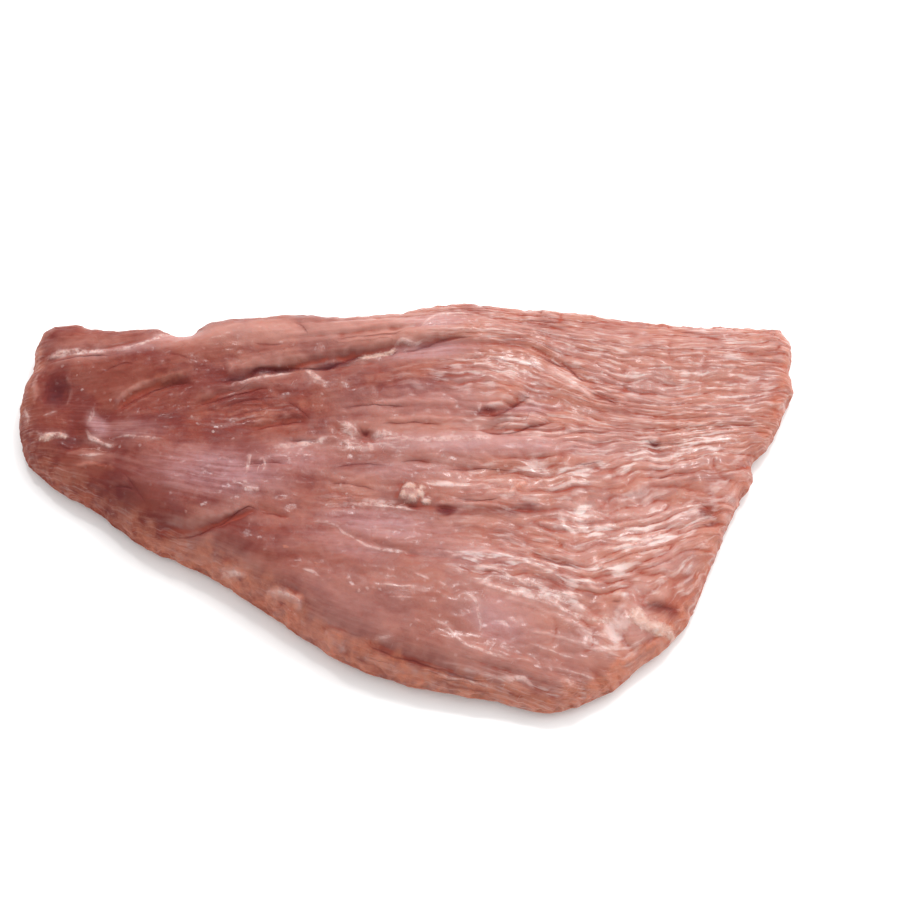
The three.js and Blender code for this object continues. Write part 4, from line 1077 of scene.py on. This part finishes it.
class Maker:
    """Builds one material's nodes."""

    def __init__(self, name):
        self.material = bpy.data.materials.new(name)
        self.material.use_nodes = True
        self.tree = self.material.node_tree
        self.tree.nodes.clear()

    def node(self, kind, settings=None, values=None):
        made = self.tree.nodes.new(kind)
        for name, value in (settings or {}).items():
            setattr(made, name, value)
        for name, value in (values or {}).items():
            socket = made.inputs[name]
            if isinstance(value, Number):
                value = value.socket
            if isinstance(value, bpy.types.NodeSocket):
                self.tree.links.new(value, socket)
            else:
                socket.default_value = value
        return made

    def number(self, socket):
        return Number(self, socket)

    def attribute(self, name):
        return self.node("ShaderNodeAttribute", {"attribute_name": name})

    def channels(self, name):
        """The four numbers of a colour attribute."""
        read = self.attribute(name)
        parts = self.node("ShaderNodeSeparateColor", {}, {"Color": read.outputs["Color"]})
        return [self.number(s) for s in (*list(parts.outputs)[:3], read.outputs["Alpha"])]

    def axes(self, vector):
        """The first two numbers of a vector."""
        parts = self.node("ShaderNodeSeparateXYZ", {}, {0: vector})
        return self.number(parts.outputs[0]), self.number(parts.outputs[1])

    def scaled(self, vector, factors):
        made = self.node("ShaderNodeVectorMath", {"operation": "MULTIPLY"}, {0: vector, 1: factors})
        return made.outputs[0]

    def noise(self, vector, scale, detail=2.0, rough=0.5, twist=0.0):
        made = self.node("ShaderNodeTexNoise", {}, {
            "Vector": vector, "Scale": scale, "Detail": detail, "Roughness": rough, "Distortion": twist})
        return self.number(made.outputs["Fac"])

    def spots(self, vector, scale, radius):
        """Small round spots, on about a third of a scatter of places."""
        made = self.node("ShaderNodeTexVoronoi", {}, {"Vector": vector, "Scale": scale})
        parts = self.node("ShaderNodeSeparateColor", {}, {"Color": made.outputs["Color"]})
        picked = self.number(parts.outputs[0]).eased(0.6, 0.75)
        return (1.0 - self.number(made.outputs["Distance"]).eased(0.4 * radius, radius)) * picked

    def mix(self, share, first, second):
        """A colour between two colours."""
        made = self.node("ShaderNodeMix", {"data_type": "RGBA"}, {0: share, 6: first, 7: second})
        return made.outputs[2]

    def finish(self, values, bump=None):
        """The surface shader, with a bump where one is given, and the output."""
        values = dict(values)
        if bump:
            height, distance = bump
            made = self.node("ShaderNodeBump", {}, {"Height": height, "Distance": distance, "Strength": 1.0})
            values["Normal"] = made.outputs[0]
        shader = self.node("ShaderNodeBsdfPrincipled", {}, values)
        self.node("ShaderNodeOutputMaterial", {}, {"Surface": shader.outputs[0]})
        return self.material


def opaque(colour):
    return (*colour, 1.0)


def meat_material(colours):
    m = Maker("raw_meat")
    membrane, fat, pale, rim = m.channels("tone")
    wet, stain, rough, glint = m.channels("finish")
    strand, streak, painted_shade, painted_sheen = m.channels("detail")
    crease, crease_share, thread_and_highlight, thread_share = m.channels("lines")
    crease, thread_and_highlight = (crease - 0.5) * (2 * LINE_FAR), (thread_and_highlight - 0.5).size() * (2 * LINE_FAR)
    grain = m.attribute("grain").outputs["Vector"]
    narrow_hollow, broad_hollow = m.axes(m.attribute("hollow").outputs["Vector"])
    place = m.node("ShaderNodeTexCoord").outputs["Object"]
    wide = m.noise(m.scaled(grain, (0.07, 0.7, 0.0)), 1.0, 3.0, 0.6)
    fine = m.noise(m.scaled(grain, (0.13, 1.5, 0.0)), 1.0, 2.0, 0.5)
    sweep = m.noise(m.scaled(grain, (0.045, 0.3, 0.0)), 1.0, 2.0, 0.5)
    dash = m.noise(m.scaled(grain, (0.17, 1.15, 0.0)), 1.0, 2.0, 0.5)
    hair = m.noise(m.scaled(grain, (0.045, 0.9, 0.0)), 1.0, 1.0, 0.5)
    patch = m.noise(place, 110.0, 1.0, 0.5)
    cloud = m.noise(place, 420.0, 4.0, 0.65)
    hue = m.noise(place, 90.0, 2.0, 0.5)
    grit = m.noise(place, 1500.0, 2.0, 0.5)
    fleck = m.noise(place, 700.0, 2.0, 0.6)
    line = 1.0 - (hair - 0.5).size().eased(0.0, 0.05)
    smooth = 1.0 - rough.clamped()
    fibrous = rough.eased(0.2, 0.75)
    lump = m.noise(place, 240.0, 2.0, 0.5)
    notch = m.noise(m.scaled(grain, (0.14, 0.9, 0.0)), 1.0, 2.0, 0.6, 0.2)
    # How far a place lies in a small hollow or on a small ridge: the hollows get painted shade, the ridges painted
    # light
    ridge, hollow_shade = (0.5 - narrow_hollow) * 2.0, (narrow_hollow - 0.5) * 2.0
    shaken = m.node("ShaderNodeTexNoise", {}, {"Vector": place, "Scale": 900.0, "Detail": 1.0})
    strewn = m.node("ShaderNodeVectorMath", {"operation": "MULTIPLY_ADD"}, {
        0: shaken.outputs["Color"], 1: (0.0009, 0.0009, 0.0009), 2: place})
    dots = m.spots(strewn.outputs[0], 560.0, 0.34)

    # Paler on broad rises and small ridges and deeper in broad hollows, as painted light and shade, over the meat's own
    # tone
    share = (pale + (wide - 0.5) * (0.3 + rough * 0.75) + (cloud - 0.5) * (0.22 + fibrous * 0.16) + (sweep - 0.5) * (0.9 - smooth * 0.6)
             + (lump - 0.5) * 0.15 + (0.5 - broad_hollow) * (0.3 + fibrous * 0.3) + ridge * 0.2).clamped()
    colour = m.mix(share, opaque(colours.deep), opaque(colours.pale))
    warm = (hue + (wide - 0.5) * rough * 0.8 + (cloud - 0.5) * 0.4).eased(0.42, 0.62) * (0.15 + rough * 0.35)
    colour = m.mix(warm, colour, opaque(colours.warm))
    colour = m.mix((1.0 - hue).eased(0.5, 0.64) * smooth * 0.12, colour, opaque(colours.stain))
    # Painted shade in the valleys between strands, in small hollows, along thin hair lines and in notches
    valley_shade = 1.0 - strand.eased(0.0, 0.55)
    between = valley_shade * (0.05 + rough * 0.38) + line * fibrous * (patch - 0.3).eased(0.1, 0.3) * 0.3 + hollow_shade.eased(0.15, 0.8) * 0.65
    colour = m.mix(between.clamped(), colour, opaque(colours.valley_shade))
    nick = (1.0 - (notch + (patch - 0.5) * 0.3).eased(0.26, 0.42)) * (0.12 + fibrous * 0.36)
    colour = m.mix(nick * (1.0 - painted_sheen * 0.6), colour, opaque(colours.valley_shade))
    # Whitish strokes along the fibres: partly pale fibre and partly painted highlight
    stroke_and_highlight = ((dash + (patch - 0.5) * 0.35 + (cloud - 0.5) * 0.25 + painted_sheen * 0.06).eased(0.5, 0.72)
              * (fibrous * 0.36 + painted_sheen * 0.6))
    # Painted highlight on crests, strokes, sheen and small ridges, in the whitish crest colour
    crest_and_highlight = (streak * 0.2 + stroke_and_highlight + painted_sheen * cloud * 0.2 + ridge.eased(0.2, 0.9) * (0.08 + fibrous * 0.25)).clamped()
    colour = m.mix(crest_and_highlight, colour, opaque(colours.crest_and_highlight))
    crust = (rim * (0.6 + (cloud - 0.5) * 2.2 + (lump - 0.5) * 1.2)).clamped()
    colour = m.mix(crust * 0.8, colour, opaque(colours.rim))
    veil = (membrane * (0.15 + wide.eased(0.38, 0.62) * 0.5 + cloud * 0.7)).clamped()
    colour = m.mix(veil * 0.75, colour, opaque(colours.membrane))
    # Purple stain, which under the main crease's lip and in the narrow end's recesses is also painted shade
    colour = m.mix((stain * (0.4 + cloud)).clamped() * 0.85, colour, opaque(colours.stain))

    # Painted shade along the crease lines and in the pits
    cut = (1.0 - crease.size().eased(0.02, 0.5)) * crease_share * (0.3 + cloud).clamped()
    colour = m.mix((cut * 0.5 + painted_shade * 0.5).clamped(), colour, opaque(colours.hollow_shade))
    # Thread marks: white membrane edges, and some lines of painted highlight
    edge = (1.0 - thread_and_highlight.eased(0.3, 0.95)) * thread_share * (fleck + cloud * 0.6 - 0.4).eased(0.12, 0.55)
    skin = (1.0 - thread_and_highlight.eased(0.3, 3.0)) * thread_share
    colour = m.mix((edge * 0.75 + skin * cloud * 0.35).clamped(), colour, opaque(colours.thread_and_highlight))
    # Painted glints: small whitish spots of highlight, clustered on the wet places
    painted_glints = dots * (glint * 0.55 + lump.eased(0.5, 0.62) * 0.08)
    colour = m.mix(painted_glints.clamped(), colour, opaque(colours.crest_and_highlight))
    fat_share = (fat + (cloud - 0.5) * 1.8 + (fleck - 0.5) * 0.5).eased(0.2, 1.0) * fat.eased(0.02, 0.25)
    colour = m.mix(fat_share * 0.7, colour, opaque(colours.fat))
    # Painted highlight flecks on the fat
    colour = m.mix(fat_share * (fleck - 0.3).eased(0.1, 0.5) * 0.5, colour, opaque(colours.crest_and_highlight))

    open_top = (1.0 - valley_shade * 0.8) * (1.0 - cut) * (1.0 - line * 0.6) * (1.0 - painted_shade * 0.7)
    gloss = (wet + (fleck - 0.5) * 0.9).clamped() * open_top
    height = (fine * fibrous * 0.08 + dash * fibrous * 0.14 - line * fibrous * 0.03 + cloud * (0.06 + smooth * 0.08)
              + lump * smooth * 0.14 + sweep * smooth * 0.3 + grit * (0.02 + glint * 0.06) + fleck * (0.09 + glint * 0.2) + painted_glints * 0.2 + crust * cloud * 0.25
              - cut * 0.2 - nick * 0.12 + edge * 0.12 + fat_share * 0.2)
    return m.finish({
        "Base Color": colour,
        "Roughness": 0.55 - gloss * 0.15,
        "Coat Weight": gloss,
        "Coat Roughness": 0.17,
        "Coat IOR": 1.28,
        "IOR": 1.4,
        "Specular IOR Level": 0.05,
        "Subsurface Weight": 0.45,
        "Subsurface Radius": (1.0, 0.35, 0.25),
        "Subsurface Scale": 0.0014,
    }, bump=(height, 0.001))


def add_piece(name, mesh, material):
    """Links a piece into the scene with its one material, riding on the only body."""
    piece = bpy.data.objects.new(name, mesh)
    bpy.context.scene.collection.objects.link(piece)
    mesh.materials.append(material)
    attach(piece, BODY)
    return piece


class STEAK_OT_meat(bpy.types.Operator):
    """Make the meat, with its folds, strands and membranes"""

    bl_idname = "steak.meat"
    bl_label = "Meat"

    def execute(self, context):
        scene = context.scene
        mesh = meat_mesh(scene.steak_sizes)
        piece = add_piece("steak_meat", mesh, meat_material(scene.steak_colours))
        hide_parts(NODE)
        return {"FINISHED"}


def area_light(name, place, target, size, power):
    """A large soft light that faces a point."""
    light = bpy.data.lights.new(name, "AREA")
    light.shape = "RECTANGLE"
    light.size, light.size_y = size
    light.energy = power
    lamp = bpy.data.objects.new(name, light)
    lamp.location = place
    direction = np.array(place) - np.array(target)
    flat = math.hypot(direction[0], direction[1])
    lamp.rotation_euler = (math.atan2(flat, direction[2]), 0, math.atan2(direction[0], -direction[1]))
    bpy.context.scene.collection.objects.link(lamp)
    return lamp


class STEAK_OT_studio(bpy.types.Operator):
    """Make the floor, the lights and the camera"""

    bl_idname = "steak.studio"
    bl_label = "Studio"

    def execute(self, context):
        scene = context.scene
        settings = scene.steak_studio
        floor_mesh = bpy.data.meshes.new("floor")
        reach, drop = 3.0, -0.0003
        floor_mesh.from_pydata([(-reach, -reach, drop), (reach, -reach, drop),
                                (reach, reach, drop), (-reach, reach, drop)], [], [(0, 1, 2, 3)])
        floor = bpy.data.objects.new("floor", floor_mesh)
        scene.collection.objects.link(floor)
        maker = Maker("pale_floor")
        floor_mesh.materials.append(maker.finish({
            "Base Color": opaque(settings.floor), "Roughness": 0.9, "Specular IOR Level": 0.1}))

        area_light("key", (0.60, 0.36, 0.63), (0, 0, 0), (0.9, 0.9), settings.key_power)
        area_light("back", (0.05, 0.7, 0.95), (0, 0, 0), (0.7, 0.35), settings.back_power)
        area_light("glint_right", (0.30, 0.52, 0.86), (0, 0, 0), (0.12, 0.12), settings.glint_power)
        area_light("glint_left", (-0.22, 0.58, 0.92), (0, 0, 0), (0.12, 0.12), settings.glint_power)
        world = bpy.data.worlds.new("studio")
        world.use_nodes = True
        world.node_tree.nodes["Background"].inputs["Strength"].default_value = settings.sky
        world.node_tree.nodes["Background"].inputs["Color"].default_value = (1, 1, 1, 1)
        scene.world = world
        scene.view_settings.view_transform = "Standard"

        camera = bpy.data.objects.new("camera", bpy.data.cameras.new("camera"))
        camera.data.lens = LENS
        camera.data.sensor_width = SENSOR
        far = CAMERA_DISTANCE * MM
        camera.location = (
            CAMERA_TARGET[0] * MM,
            CAMERA_TARGET[1] * MM - far * math.cos(CAMERA_ELEVATION),
            far * math.sin(CAMERA_ELEVATION))
        camera.rotation_euler = (math.pi / 2 - CAMERA_ELEVATION, 0, 0)
        scene.collection.objects.link(camera)
        scene.camera = camera
        return {"FINISHED"}


class STEAK_PT_panel(bpy.types.Panel):
    """Lists the pieces and what can be changed about them"""

    bl_idname = "STEAK_PT_panel"
    bl_label = "Pork Skirt Steak"
    bl_space_type = "VIEW_3D"
    bl_region_type = "UI"
    bl_category = "Steak"

    def draw(self, context):
        for operator in PIECES:
            self.layout.operator(operator.bl_idname)
        for group in SETTINGS:
            box = self.layout.box()
            settings = getattr(context.scene, group)
            for name in settings.bl_rna.properties.keys():
                if name not in ("rna_type", "name"):
                    box.prop(settings, name)


SETTINGS = {"steak_sizes": SteakSizes, "steak_colours": SteakColours, "steak_studio": StudioSettings}
PIECES = (STEAK_OT_studio, STEAK_OT_meat)
CLASSES = (*SETTINGS.values(), *PIECES, STEAK_PT_panel)


def register():
    for made in CLASSES:
        bpy.utils.register_class(made)
    for name, group in SETTINGS.items():
        setattr(bpy.types.Scene, name, bpy.props.PointerProperty(type=group))


def unregister():
    for name in SETTINGS:
        delattr(bpy.types.Scene, name)
    for made in reversed(CLASSES):
        bpy.utils.unregister_class(made)


def main():
    register()
    for operator in PIECES:
        group, name = operator.bl_idname.split(".")
        getattr(getattr(bpy.ops, group), name)()


if __name__ == "__main__":
    main()
